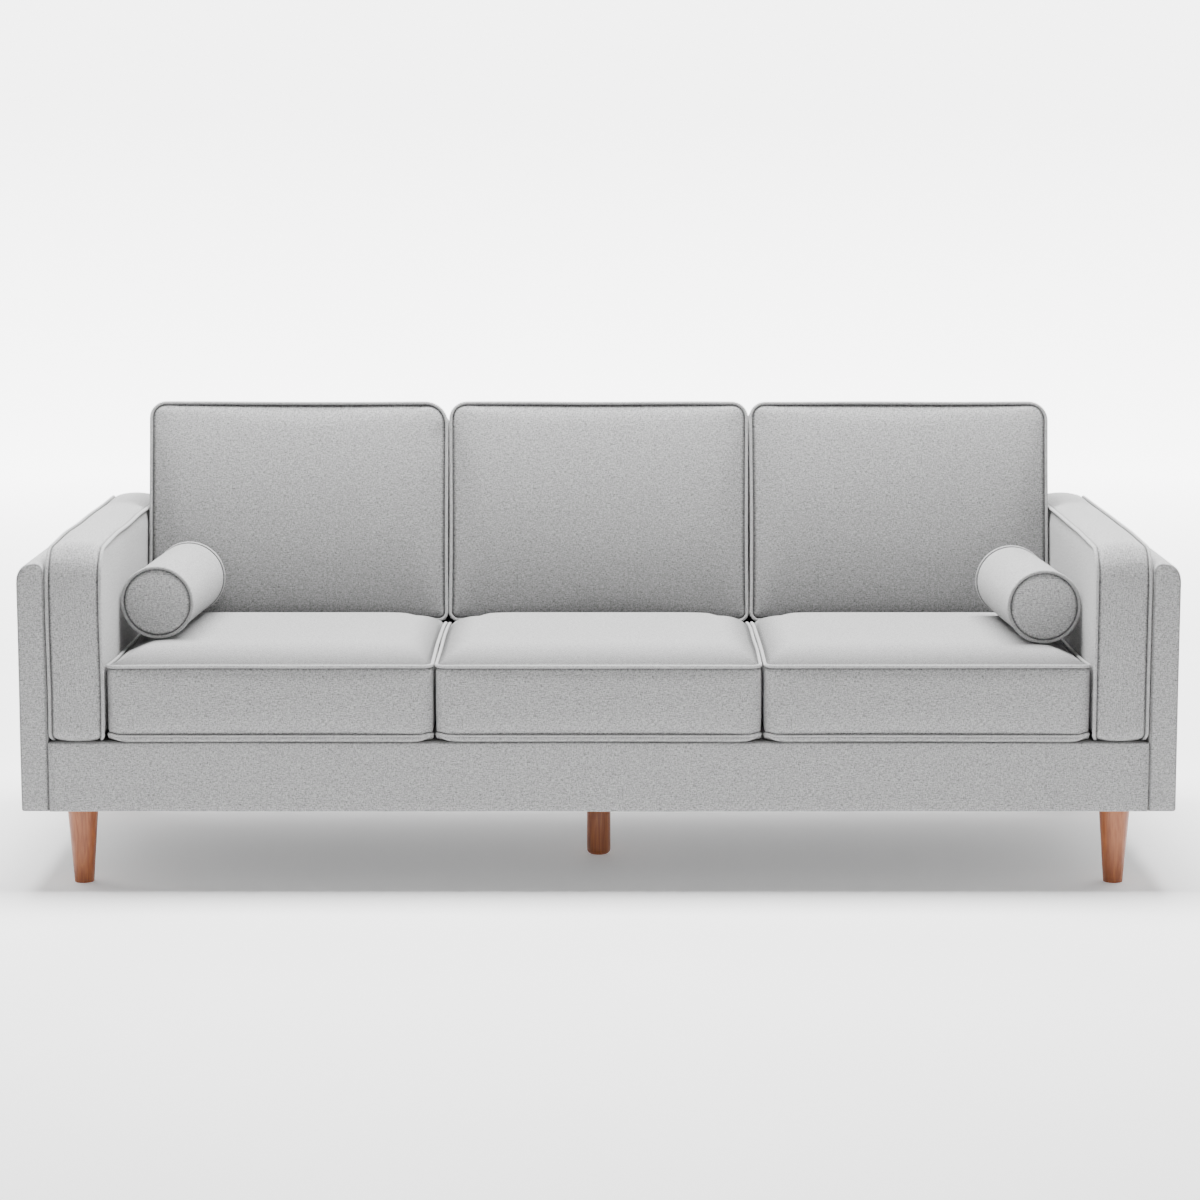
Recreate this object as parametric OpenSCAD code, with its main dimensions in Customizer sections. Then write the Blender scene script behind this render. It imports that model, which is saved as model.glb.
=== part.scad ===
// Three-seat sofa: timber frame, webbed deck, padded arms, loose cushions, bolsters, turned legs.
// Millimetres. +X is to the right seen from the front, the front faces -Y, the floor is z = 0.

/* [Overall] */
// Width over the two outer arm panels
sofa_w = 2166; // [1800:2:2400]
// Depth from the front of the seat to the rear face
sofa_d = 880; // [780:2:980]
// Height of the legs under the frame
leg_h = 154; // [110:1:200]
// Height of the upholstered base above the legs
base_h = 132; // [110:1:170]

/* [Arms] */
// Thickness of an outer arm panel
panel_t = 53; // [46:1:80]
// Height of the top of an outer arm panel
panel_top = 625; // [560:1:700]
// Edge radius along the top of an outer arm panel
panel_r = 18; // [8:1:24]
// Width of an inner arm pad over its piping
pad_w = 106; // [80:1:140]
// Height of the top seam of an arm pad
pad_top = 656; // [600:1:720]
// Rise of the boxing strip between an arm pad's two seams
pad_crown = 6; // [4:1:16]
// Radius of an arm pad's upper front corner
pad_r_front = 55; // [30:1:90]
// Radius of an arm pad's other corners
pad_r_low = 20; // [10:1:40]

/* [Seat cushions] */
// Height of a seat cushion at its seams
seat_h = 147; // [110:1:180]
// Height that a seat cushion's top puffs up above its seam
seat_puff = 15; // [8:1:30]
// Distance of the seat cushions' rear face from the sofa's front
seat_d = 718; // [620:2:718]
// Radius of a seat cushion's lower corners, seen from the front
seat_r_low = 22; // [10:1:40]

/* [Back cushions] */
// Height of the top of the back cushions above the floor
back_top = 870; // [780:1:940]
// Distance of the back cushions' front face from the sofa's front, where it meets the seat
back_face_d = 600; // [520:2:660]
// Thickness of a back cushion, measured level, without its puff
back_t = 150; // [110:2:190]
// Lean of the back cushions and of the back frame, in degrees
recline = 10.5; // [4:0.5:14]
// Puff of a back cushion's front
back_puff = 12; // [4:1:24]
// Radius of a back cushion's upper corners, seen from the front
back_r = 32; // [14:1:45]
// Height of the top of the back frame above the floor
frame_top = 750; // [680:2:820]

/* [Bolsters] */
// Diameter of a bolster over its piping
bolster_d = 143; // [110:1:170]
// Length of a bolster
bolster_l = 370; // [300:2:420]
// Distance of a bolster's axis from the sofa's middle
bolster_x = 841; // [780:1:841]
// Distance of the left bolster's middle from the sofa's front
bolster_left_d = 400; // [250:2:404]
// Distance of the right bolster's middle from the sofa's front
bolster_right_d = 345; // [250:2:404]
// Turn of each bolster about the vertical, in degrees
bolster_turn = 3; // [0:0.5:3]

/* [Legs] */
// Diameter of a corner leg at its top
leg_top_d = 60; // [44:1:64]
// Diameter of a corner leg at the floor
leg_foot_d = 37; // [28:1:46]
// Distance of a corner leg's axis from the sofa's front or rear
leg_inset_y = 94; // [88:1:100]
// Distance of a corner leg's axis from the sofa's middle
leg_x = 982; // [960:1:985]
// Diameter of the straight centre leg
center_leg_d = 47; // [38:1:56]
// Distance of the centre leg's axis from the sofa's front
center_leg_inset = 335; // [200:1:500]
// Radius of the centre leg's lower edge
center_leg_r = 10; // [3:1:12]

/* [Construction] */
// Thickness of the upholstery cloth
cloth = 2; // [1.5:0.1:3]
// Radius of the piping cord in its cloth
pipe_r = 3.5; // [2.5:0.1:5]
// How far the piping stands out from the faces beside it
pipe_out = 2.5; // [1:0.1:3]
// Clearance between pieces that come apart
gap = 0.3; // [0.3:0.1:1]
// Thickness of the front and rear rails
rail_t = 28; // [22:1:34]
// Thickness of the plywood side rails and back posts
ply_t = 18; // [15:1:22]
// Number of front-to-back webbing straps under each seat
straps_per_seat = 4; // [3:1:5]
// Width of a webbing strap
strap_w = 60; // [50:5:70]

/* [Hidden] */
$fn = 48;
y_front = -sofa_d / 2;
y_rear = sofa_d / 2;
half_w = sofa_w / 2;
z_deck = leg_h + base_h;
web_t = 2;
deck_t = 5.7;
board = 3;
// The arms
panel_in = half_w - panel_t;
pad_out = panel_in - 1;
pad_in = pad_out - pad_w;
pad_box_in = pad_in + pipe_out;
pad_box_out = pad_out - pipe_out;
pad_board_t = 12;
pad_board_set = 16;
panel_foam = 5;
arm_core = panel_foam + cloth;
arm_rail_h = 90;
arm_post_w = 62;
// The base
z_frame = leg_h + 3;
z_rail_top = z_deck - gap - cloth - deck_t - web_t;
apron_set = 2;
apron_foam_t = 8;
rail_y = y_front + apron_set + cloth + apron_foam_t;
rear_rail_y = y_rear - cloth - rail_t;
side_x = pad_out - ply_t;
center_rail_w = 84;
center_rail_h = 40;
block_y = 112;
block_x = 108;
block_h = 45;
// Leg fixings
plate = 74;
plate_t = 3;
screw_at = 26;
screw_r = 2;
bolt_r = 4;
slip = 0.2;
skim = 0.1;
bolt_down = 33;
bolt_up = 34;
leg_y = [y_front + leg_inset_y, y_rear - leg_inset_y];
center_leg_y = y_front + center_leg_inset;
// The seats
pitch = 2 * (pad_in - 1) / 3;
seat_box_w = pitch - 1.3 - 2 * pipe_out;
seat_z = z_deck;
seat_top = seat_z + seat_h + seat_puff;
seat_box_y = y_front + pipe_out;
seat_rear_y = y_front + seat_d;
seat_box_d = seat_rear_y - pipe_out - seat_box_y;
puff_in = 8;
puff_r = 15;
// The back: face_y is the level position of the cushions' front face at a height
slope = tan(recline);
back_z = seat_top + gap;
back_box_top = back_top - pipe_out;
function face_y(z) = y_front + back_face_d + (z - back_z) * slope;
function frame_y(z) = face_y(z) + back_t + gap;
back_box_w = seat_box_w;
back_half = pad_in - 2;
post_x = [-(back_half - cloth - ply_t / 2), -pitch / 2, pitch / 2, back_half - cloth - ply_t / 2];
post_set = cloth + 12 + web_t;
top_rail_h = 32;
lower_rail_h = 60;
back_strap_z = [330, 430, 530, 630];
// The bolsters
bolster_z = back_z + bolster_d / 2;
bolster_body_r = bolster_d / 2 - pipe_out;

cloth_color = [0.72, 0.72, 0.72];
foam_color = [0.93, 0.90, 0.80];
pine_color = [0.84, 0.70, 0.50];
ply_color = [0.78, 0.63, 0.43];
leg_color = [0.56, 0.34, 0.23];
steel_color = [0.66, 0.67, 0.69];
web_color = [0.16, 0.16, 0.17];

// ---------- helpers ----------

// Carries a profile drawn in (Y, Z) along X.
module along_x(len) {
  rotate([90, 0, 90])
    linear_extrude(height = len, center = true)
      children();
}

// Carries a profile drawn in (X, Z) along Y.
module along_y(len) {
  rotate([90, 0, 0])
    linear_extrude(height = len, center = true)
      children();
}

// A rectangle standing on y = 0 with rounded lower and upper corners.
module rounded(w, h, r_low, r_high) {
  translate([-w / 2, r_low])
    square([w, h - r_low - r_high]);
  translate([-w / 2 + r_low, 0])
    square([w - 2 * r_low, h / 2]);
  translate([-w / 2 + r_high, h / 2])
    square([w - 2 * r_high, h / 2]);
  for (s = [-1, 1]) {
    translate([s * (w / 2 - r_low), r_low])
      circle(r = r_low);
    translate([s * (w / 2 - r_high), h - r_high])
      circle(r = r_high);
  }
}

// A quarter ring of cord in the XY plane, about the origin.
module cord_corner(r, turn) {
  rotate([0, 0, turn])
    rotate_extrude(angle = 90)
      translate([r, 0])
        circle(r = pipe_r);
}

// A straight cord from the origin along +X or +Y.
module cord_run(len, turn) {
  rotate([0, 0, turn])
    rotate([0, 90, 0])
      cylinder(r = pipe_r, h = len);
}

// A closed cord round a rectangle in the XY plane. r holds the radii of the corners
// at lower left, lower right, upper right and upper left.
module cord_loop(w, h, r) {
  translate([-w / 2 + r[0], -h / 2, 0])
    cord_run(w - r[0] - r[1], 0);
  translate([w / 2, -h / 2 + r[1], 0])
    cord_run(h - r[1] - r[2], 90);
  translate([-w / 2 + r[3], h / 2, 0])
    cord_run(w - r[3] - r[2], 0);
  translate([-w / 2, -h / 2 + r[0], 0])
    cord_run(h - r[0] - r[3], 90);
  translate([-w / 2 + r[0], -h / 2 + r[0], 0])
    cord_corner(r[0], 180);
  translate([w / 2 - r[1], -h / 2 + r[1], 0])
    cord_corner(r[1], 270);
  translate([w / 2 - r[2], h / 2 - r[2], 0])
    cord_corner(r[2], 0);
  translate([-w / 2 + r[3], h / 2 - r[3], 0])
    cord_corner(r[3], 90);
}

// Puts its children at the four corner legs.
module at_corner_legs() {
  for (x = [-leg_x, leg_x]) {
    for (y = leg_y) {
      translate([x, y, 0])
        children();
    }
  }
}

// Puts its children at all five legs.
module at_legs() {
  at_corner_legs()
    children();
  translate([0, center_leg_y, 0])
    children();
}

// The four screw places of one leg plate.
module at_screws() {
  for (x = [-screw_at, screw_at]) {
    for (y = [-screw_at, screw_at]) {
      translate([x, y, 0])
        children();
    }
  }
}

// Clearance holes for one leg's hanger bolt and plate screws.
module fixing_holes() {
  cylinder(r = bolt_r + slip, h = leg_h + bolt_up + 4);
  at_screws()
    cylinder(r = screw_r + slip, h = leg_h + 28);
}

// Puts its children on the axes of the bolts that join the arms to the base, along X.
module at_arm_bolts() {
  for (s = [-1, 1]) {
    for (y = [-250, 0, 250]) {
      translate([s * side_x, y, z_frame + 55])
        rotate([0, s * 90, 0])
          children();
    }
  }
}

// Puts its children on the axes of the bolts that join the back to the base.
module at_back_bolts() {
  for (x = [-pitch, 0, pitch]) {
    translate([x, rear_rail_y + rail_t / 2, 0])
      children();
  }
}

// ---------- base frame ----------

module front_rail() {
  color(pine_color)
    translate([-pad_out, rail_y, z_frame])
      cube([2 * pad_out, rail_t, z_rail_top - z_frame]);
}

module rear_rail() {
  color(pine_color)
    difference() {
      translate([-pad_out, rear_rail_y, z_frame])
        cube([2 * pad_out, rail_t, z_rail_top - z_frame]);
      at_back_bolts()
        translate([0, 0, z_rail_top - 52])
          cylinder(r = bolt_r + slip, h = 60);
    }
}

module side_rail() {
  difference() {
    translate([side_x, rail_y + rail_t, z_frame])
      cube([ply_t, rear_rail_y - rail_y - rail_t, z_rail_top - web_t - z_frame]);
    at_arm_bolts()
      translate([0, 0, -1])
        cylinder(r = bolt_r + slip, h = ply_t + 2);
  }
}

module side_rail_left() {
  color(ply_color)
    mirror([1, 0, 0])
      side_rail();
}

module side_rail_right() {
  color(ply_color)
    side_rail();
}

module center_rail() {
  color(pine_color)
    difference() {
      translate([-center_rail_w / 2, rail_y + rail_t, z_frame])
        cube([center_rail_w, rear_rail_y - rail_y - rail_t, center_rail_h]);
      translate([0, center_leg_y, 0])
        fixing_holes();
    }
}

module corner_blocks() {
  color(pine_color)
    for (s = [-1, 1]) {
      for (y = [rail_y + rail_t, rear_rail_y - block_y]) {
        difference() {
          translate([s * (side_x - block_x / 2) - block_x / 2, y, z_frame])
            cube([block_x, block_y, block_h]);
          at_corner_legs()
            fixing_holes();
        }
      }
    }
}

// ---------- legs and their fixings ----------

module leg_plates() {
  color(steel_color)
    at_legs()
      difference() {
        translate([-plate / 2, -plate / 2, leg_h])
          cube([plate, plate, plate_t]);
        fixing_holes();
      }
}

module leg_plate_screws() {
  color(steel_color)
    at_legs()
      at_screws() {
        translate([0, 0, leg_h - 2])
          cylinder(r1 = 2.6, r2 = 4, h = 2);
        translate([0, 0, leg_h - 0.5])
          cylinder(r = screw_r, h = 24);
      }
}

module hanger_bolts() {
  color(steel_color)
    at_legs()
      translate([0, 0, leg_h - bolt_down])
        cylinder(r = bolt_r, h = bolt_down + bolt_up);
}

module corner_leg() {
  difference() {
    cylinder(d1 = leg_foot_d, d2 = leg_top_d, h = leg_h);
    translate([0, 0, leg_h - bolt_down - 1])
      cylinder(r = bolt_r + slip, h = bolt_down + 2);
  }
}

module leg_front_left() {
  color(leg_color)
    translate([-leg_x, leg_y[0], 0])
      corner_leg();
}

module leg_front_right() {
  color(leg_color)
    translate([leg_x, leg_y[0], 0])
      corner_leg();
}

module leg_rear_left() {
  color(leg_color)
    translate([-leg_x, leg_y[1], 0])
      corner_leg();
}

module leg_rear_right() {
  color(leg_color)
    translate([leg_x, leg_y[1], 0])
      corner_leg();
}

module leg_center() {
  color(leg_color)
    translate([0, center_leg_y, 0])
      difference() {
        union() {
          translate([0, 0, center_leg_r])
            cylinder(d = center_leg_d, h = leg_h - center_leg_r);
          rotate_extrude() {
            square([center_leg_d / 2 - center_leg_r, 2 * center_leg_r]);
            translate([center_leg_d / 2 - center_leg_r, center_leg_r])
              intersection() {
                circle(r = center_leg_r);
                translate([0, -center_leg_r])
                  square([center_leg_r, 2 * center_leg_r]);
              }
          }
        }
        translate([0, 0, leg_h - bolt_down - 1])
          cylinder(r = bolt_r + slip, h = bolt_down + 2);
      }
}

// ---------- seat deck ----------

module seat_webbing() {
  color(web_color) {
    for (seat = [-1, 0, 1]) {
      for (i = [0 : straps_per_seat - 1]) {
        x = seat * pitch + (i - (straps_per_seat - 1) / 2) * 152;
        translate([x - strap_w / 2, rail_y, z_rail_top])
          cube([strap_w, rear_rail_y + rail_t - rail_y, web_t]);
      }
    }
    for (y = [-250, -50, 150]) {
      translate([-pad_out, y - strap_w / 2, z_rail_top - web_t + slip / 2])
        cube([2 * pad_out, strap_w, web_t - slip]);
    }
  }
}

module deck_pad() {
  color(foam_color)
    translate([-pad_out, rail_y, z_rail_top + web_t])
      cube([2 * pad_out, frame_y(z_deck) - 3 - rail_y, deck_t]);
}

module deck_cover() {
  color(cloth_color)
    translate([-pad_out, y_front + apron_set + cloth, z_deck - gap - cloth])
      cube([2 * pad_out, frame_y(z_deck) - 3 - y_front - apron_set - cloth, cloth]);
}

module apron_foam() {
  color(foam_color)
    translate([-pad_out, y_front + apron_set + cloth, leg_h + cloth])
      cube([2 * pad_out, apron_foam_t, base_h - gap - 2 * cloth]);
}

module apron_cover() {
  color(cloth_color)
    along_x(2 * pad_out) {
      translate([y_front + apron_set, leg_h])
        square([cloth, base_h - gap]);
      translate([y_front + apron_set, leg_h])
        square([50, cloth]);
    }
}

module rear_base_cover() {
  color(cloth_color)
    along_x(2 * pad_out) {
      translate([y_rear - cloth, leg_h])
        square([cloth, base_h - gap]);
      translate([y_rear - 50, leg_h])
        square([50, cloth]);
    }
}

module dust_cover() {
  color(web_color)
    difference() {
      translate([-pad_out, y_front + apron_set + 50, leg_h + 1])
        cube([2 * pad_out, sofa_d - apron_set - 100, 1]);
      at_legs()
        translate([-plate / 2 - 1, -plate / 2 - 1, leg_h])
          cube([plate + 2, plate + 2, 3]);
    }
}

// ---------- back frame ----------

module back_posts() {
  color(ply_color)
    for (x = post_x) {
      translate([x, 0, 0])
        along_x(ply_t)
          polygon([
            [frame_y(z_rail_top) + post_set, z_rail_top],
            [y_rear - cloth - board, z_rail_top],
            [y_rear - cloth - board, frame_top - cloth - top_rail_h],
            [frame_y(frame_top - cloth - top_rail_h) + post_set, frame_top - cloth - top_rail_h]
          ]);
    }
}

module back_top_rail() {
  color(pine_color)
    along_x(2 * (back_half - cloth))
      polygon([
        [frame_y(frame_top - cloth - top_rail_h) + post_set, frame_top - cloth - top_rail_h],
        [y_rear - cloth - board, frame_top - cloth - top_rail_h],
        [y_rear - cloth - board, frame_top - cloth],
        [frame_y(frame_top - cloth) + post_set, frame_top - cloth]
      ]);
}

module back_lower_rails() {
  color(pine_color)
    difference() {
      for (i = [0 : 2]) {
        x0 = post_x[i] + ply_t / 2;
        translate([x0, rear_rail_y, z_rail_top + web_t])
          cube([post_x[i + 1] - ply_t / 2 - x0, rail_t - board, lower_rail_h]);
      }
      at_back_bolts()
        translate([0, 0, z_rail_top])
          cylinder(r = bolt_r + slip, h = lower_rail_h + 10);
    }
}

module back_bolts() {
  color(steel_color)
    at_back_bolts() {
      translate([0, 0, z_rail_top - 50])
        cylinder(r = bolt_r, h = 50 + web_t + lower_rail_h + 1);
      translate([0, 0, z_rail_top + web_t + lower_rail_h])
        cylinder(r = 7.5, h = 5.5, $fn = 6);
    }
}

module back_webbing() {
  color(web_color)
    for (z = back_strap_z) {
      along_x(2 * (back_half - cloth))
        polygon([
          [frame_y(z) + post_set - web_t, z],
          [frame_y(z) + post_set - skim, z],
          [frame_y(z + strap_w) + post_set - skim, z + strap_w],
          [frame_y(z + strap_w) + post_set - web_t, z + strap_w]
        ]);
    }
}

module back_panel() {
  color([0.55, 0.42, 0.28])
    translate([-(back_half - cloth), y_rear - cloth - board, z_deck])
      cube([2 * (back_half - cloth), board, frame_top - cloth - z_deck]);
}

module back_foam() {
  color(foam_color)
    along_x(2 * (back_half - cloth))
      polygon([
        [frame_y(z_deck) + cloth + skim, z_deck],
        [frame_y(z_deck) + post_set - web_t - skim, z_deck],
        [frame_y(frame_top - cloth) + post_set - web_t - skim, frame_top - cloth],
        [frame_y(frame_top - cloth) + cloth + skim, frame_top - cloth]
      ]);
}

module back_cover() {
  color(cloth_color)
    difference() {
      along_x(2 * back_half)
        polygon([
          [frame_y(z_deck), z_deck],
          [y_rear, z_deck],
          [y_rear, frame_top],
          [frame_y(frame_top), frame_top]
        ]);
      along_x(2 * (back_half - cloth))
        polygon([
          [frame_y(z_deck - 1) + cloth, z_deck - 1],
          [y_rear - cloth, z_deck - 1],
          [y_rear - cloth, frame_top - cloth],
          [frame_y(frame_top - cloth) + cloth, frame_top - cloth]
        ]);
    }
}

// ---------- arms, drawn on the right ----------

// The outside of an arm panel, made smaller by t all round.
module panel_solid(t) {
  translate([panel_in + panel_t / 2, 0, leg_h + t])
    intersection() {
      along_y(sofa_d - 2 * t)
        rounded(panel_t - 2 * t, panel_top - leg_h - 2 * t, 4, panel_r - t);
      along_x(panel_t)
        rounded(sofa_d - 2 * t, panel_top - leg_h - 2 * t, 6, panel_r - t);
    }
}

// Holes along X for the bolts that join an arm to the base.
module arm_bolt_holes() {
  at_arm_bolts()
    cylinder(r = bolt_r + slip, h = ply_t + 42);
}

module arm_posts() {
  x = panel_in + arm_core + board;
  for (y = [y_front + arm_core, y_rear - arm_core - arm_post_w]) {
    translate([x, y, leg_h + arm_core])
      cube([panel_t - 2 * arm_core - 2 * board, arm_post_w, panel_top - panel_r - leg_h - arm_core]);
  }
}

module arm_rails() {
  x = panel_in + arm_core + board;
  len = sofa_d - 2 * arm_core - 2 * arm_post_w;
  difference() {
    for (z = [leg_h + arm_core, panel_top - panel_r - arm_rail_h]) {
      translate([x, -len / 2, z])
        cube([panel_t - 2 * arm_core - 2 * board, len, arm_rail_h]);
    }
    arm_bolt_holes();
  }
}

module arm_skins() {
  difference() {
    for (x = [panel_in + arm_core, half_w - arm_core - board]) {
      translate([x, y_front + arm_core, leg_h + arm_core])
        cube([board, sofa_d - 2 * arm_core, panel_top - panel_r - leg_h - arm_core]);
    }
    arm_bolt_holes();
  }
}

// The cloth with the thin foam glued to it, a closed sleeve round the arm's frame.
module arm_cover() {
  difference() {
    panel_solid(0);
    translate([panel_in + arm_core, y_front + arm_core, leg_h + arm_core])
      cube([panel_t - 2 * arm_core, sofa_d - 2 * arm_core, panel_top - panel_r - leg_h - arm_core]);
    arm_bolt_holes();
  }
}

module arm_posts_left() {
  color(pine_color)
    mirror([1, 0, 0])
      arm_posts();
}

module arm_posts_right() {
  color(pine_color)
    arm_posts();
}

module arm_rails_left() {
  color(pine_color)
    mirror([1, 0, 0])
      arm_rails();
}

module arm_rails_right() {
  color(pine_color)
    arm_rails();
}

module arm_skins_left() {
  color([0.55, 0.42, 0.28])
    mirror([1, 0, 0])
      arm_skins();
}

module arm_skins_right() {
  color([0.55, 0.42, 0.28])
    arm_skins();
}

module arm_cover_left() {
  color(cloth_color)
    mirror([1, 0, 0])
      arm_cover();
}

module arm_cover_right() {
  color(cloth_color)
    arm_cover();
}

module arm_bolts() {
  color(steel_color)
    at_arm_bolts() {
      translate([0, 0, -5.5])
        cylinder(r = 7.5, h = 5.5, $fn = 6);
      translate([0, 0, -0.5])
        cylinder(r = bolt_r, h = ply_t + 40);
    }
}

// The side view of an arm pad, with its upper front corner rounder than the others.
module pad_side(d, h, r_front, r_other) {
  translate([-d / 2, r_other])
    square([d, h - r_front - r_other]);
  translate([-d / 2 + r_other, 0])
    square([d - 2 * r_other, h - r_front]);
  translate([-d / 2 + r_front, h / 2])
    square([d - r_front - r_other, h / 2]);
  translate([0, h - r_front - r_other])
    square([d / 2, r_front]);
  translate([-d / 2 + r_other, r_other])
    circle(r = r_other);
  translate([d / 2 - r_other, r_other])
    circle(r = r_other);
  translate([-d / 2 + r_front, h - r_front])
    circle(r = r_front);
  translate([d / 2 - r_other, h - r_other])
    circle(r = r_other);
}

// The outside of an arm pad without its piping, made smaller by t all round.
module pad_solid(t) {
  w = pad_box_out - pad_box_in - 2 * t;
  h = pad_top - z_deck - pipe_out;
  crown_r = w * w / (8 * pad_crown) + pad_crown / 2;
  translate([(pad_box_in + pad_box_out) / 2, 0, z_deck + pipe_out + t])
    intersection() {
      along_x(w)
        pad_side(sofa_d - 2 * pipe_out - 2 * t, h + pad_crown - 2 * t, pad_r_front - t, pad_r_low - t);
      along_y(sofa_d)
        union() {
          translate([-w / 2, 0])
            square([w, h - 2 * t]);
          intersection() {
            translate([-w / 2, 0])
              square([w, h + pad_crown - 2 * t]);
            translate([0, h - 2 * t + pad_crown - crown_r])
              circle(r = crown_r, $fn = 180);
          }
        }
    }
}

// The piping round one side face of an arm pad, at that x.
module pad_cord(x) {
  d = sofa_d - 2 * pipe_r;
  h = pad_top - z_deck - 2 * pipe_r;
  r = [pad_r_low - 2, pad_r_low - 2, pad_r_low - 2, pad_r_front - 2];
  translate([x, 0, z_deck + pipe_r + h / 2])
    rotate([90, 0, 90])
      cord_loop(d, h, r);
}

module pad_cover() {
  difference() {
    union() {
      pad_solid(0);
      pad_cord(pad_in + pipe_r);
      pad_cord(pad_out - pipe_r);
    }
    pad_solid(cloth);
  }
}

// The board in the pad's outer face, t thick, set in from the pad's edges.
module pad_board_block(t) {
  z0 = z_deck + pipe_out + pad_board_set;
  translate([pad_box_out - cloth - pad_board_t, y_front + pad_board_set, z0])
    cube([t, sofa_d - 2 * pad_board_set, pad_top - z0 - pad_r_front]);
}

module pad_board() {
  pad_board_block(pad_board_t);
}

module pad_foam() {
  difference() {
    pad_solid(cloth);
    pad_board_block(pad_board_t + 1);
  }
}

module pad_board_left() {
  color(ply_color)
    mirror([1, 0, 0])
      pad_board();
}

module pad_board_right() {
  color(ply_color)
    pad_board();
}

module pad_foam_left() {
  color(foam_color)
    mirror([1, 0, 0])
      pad_foam();
}

module pad_foam_right() {
  color(foam_color)
    pad_foam();
}

module pad_cover_left() {
  color(cloth_color)
    mirror([1, 0, 0])
      pad_cover();
}

module pad_cover_right() {
  color(cloth_color)
    pad_cover();
}

// ---------- seat cushions ----------

// A cushion's section: a rounded block with a puffed top inside its seams, made smaller by t.
module puffed(w, h, t, r_low) {
  rounded(w - 2 * t, h - 2 * t, r_low - t, 6 - t);
  translate([0, 0])
    rounded(w - 2 * puff_in - 2 * t, h + seat_puff - 2 * t, r_low - t, puff_r - t);
}

// The outside of a seat cushion without its piping, made smaller by t all round.
module seat_solid(t) {
  translate([0, seat_box_y + seat_box_d / 2, seat_z + t])
    intersection() {
      along_y(seat_box_d - 2 * t)
        puffed(seat_box_w, seat_h, t, seat_r_low);
      along_x(seat_box_w - 2 * t)
        puffed(seat_box_d, seat_h, t, 8);
    }
}

module seat_cord(z) {
  w = seat_box_w + 2 * pipe_out - 2 * pipe_r;
  d = seat_box_d + 2 * pipe_out - 2 * pipe_r;
  translate([0, seat_box_y + seat_box_d / 2, z])
    cord_loop(w, d, [9, 9, 9, 9]);
}

module seat_cover(i) {
  color(cloth_color)
    translate([i * pitch, 0, 0])
      difference() {
        union() {
          seat_solid(0);
          seat_cord(seat_z + seat_h - pipe_r);
          seat_cord(seat_z + 12);
        }
        seat_solid(cloth);
      }
}

module seat_core(i) {
  color(foam_color)
    translate([i * pitch, 0, 0])
      seat_solid(cloth + gap);
}

module seat_cover_left() {
  seat_cover(-1);
}

module seat_cover_center() {
  seat_cover(0);
}

module seat_cover_right() {
  seat_cover(1);
}

module seat_core_left() {
  seat_core(-1);
}

module seat_core_center() {
  seat_core(0);
}

module seat_core_right() {
  seat_core(1);
}

// ---------- back cushions ----------

// The side view of a back cushion, made smaller by t: level underside, leaning faces, puffed front.
module back_side(t) {
  z0 = back_z + t;
  z1 = back_box_top - t;
  tx = t / cos(recline);
  drop = (back_t - 2 * tx) * slope * cos(recline) * cos(recline);
  polygon([
    [face_y(z0) + tx, z0],
    [face_y(z0) + back_t - tx, z0],
    [face_y(z1 - drop) + back_t - tx, z1 - drop],
    [face_y(z1) + tx, z1],
    [face_y(z1 - 40) + tx - back_puff, z1 - 40],
    [face_y(z0 + 40) + tx - back_puff, z0 + 40]
  ]);
}

// The outside of a back cushion without its piping, made smaller by t all round.
module back_solid(t) {
  intersection() {
    along_x(back_box_w - 2 * t)
      back_side(t);
    translate([0, 0, back_z + t])
      along_y(2 * sofa_d)
        rounded(back_box_w - 2 * t, back_box_top - back_z - 2 * t, 14 - t, back_r - t);
  }
}

// The piping round the front of a back cushion, in its leaning front plane.
module back_cord() {
  set = pipe_out - pipe_r;
  w = back_box_w + 2 * set;
  z0 = back_z + pipe_r;
  z1 = back_top - pipe_r;
  h = (z1 - z0) / cos(recline);
  translate([0, face_y((z0 + z1) / 2) + pipe_r, (z0 + z1) / 2])
    rotate([90 - recline, 0, 0])
      cord_loop(w, h, [13, 13, back_r - 2, back_r - 2]);
}

module back_cushion_cover(i) {
  color(cloth_color)
    translate([i * pitch, 0, 0])
      difference() {
        union() {
          back_solid(0);
          back_cord();
        }
        back_solid(cloth);
      }
}

module back_cushion_core(i) {
  color(foam_color)
    translate([i * pitch, 0, 0])
      back_solid(cloth + gap);
}

module back_cushion_cover_left() {
  back_cushion_cover(-1);
}

module back_cushion_cover_center() {
  back_cushion_cover(0);
}

module back_cushion_cover_right() {
  back_cushion_cover(1);
}

module back_cushion_core_left() {
  back_cushion_core(-1);
}

module back_cushion_core_center() {
  back_cushion_core(0);
}

module back_cushion_core_right() {
  back_cushion_core(1);
}

// ---------- bolsters ----------

// Puts its children in the left (-1) or right (1) bolster's place, the axis along Y.
module at_bolster(side) {
  y = side < 0 ? bolster_left_d : bolster_right_d;
  translate([side * bolster_x, y_front + y, bolster_z])
    rotate([0, 0, side * bolster_turn])
      children();
}

// A bolster's round body, made smaller by t all round.
module bolster_solid(t) {
  rotate([90, 0, 0])
    cylinder(r = bolster_body_r - t, h = bolster_l - 2 * t, center = true, $fn = 96);
}

module bolster_cover(side) {
  color(cloth_color)
    at_bolster(side)
      difference() {
        union() {
          bolster_solid(0);
          for (y = [-1, 1]) {
            translate([0, y * (bolster_l / 2 - pipe_r), 0])
              rotate([90, 0, 0])
                rotate_extrude($fn = 96)
                  translate([bolster_d / 2 - pipe_r, 0])
                    circle(r = pipe_r);
          }
        }
        bolster_solid(cloth);
      }
}

module bolster_core(side) {
  color(foam_color)
    at_bolster(side)
      bolster_solid(cloth + gap);
}

module bolster_cover_left() {
  bolster_cover(-1);
}

module bolster_cover_right() {
  bolster_cover(1);
}

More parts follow.
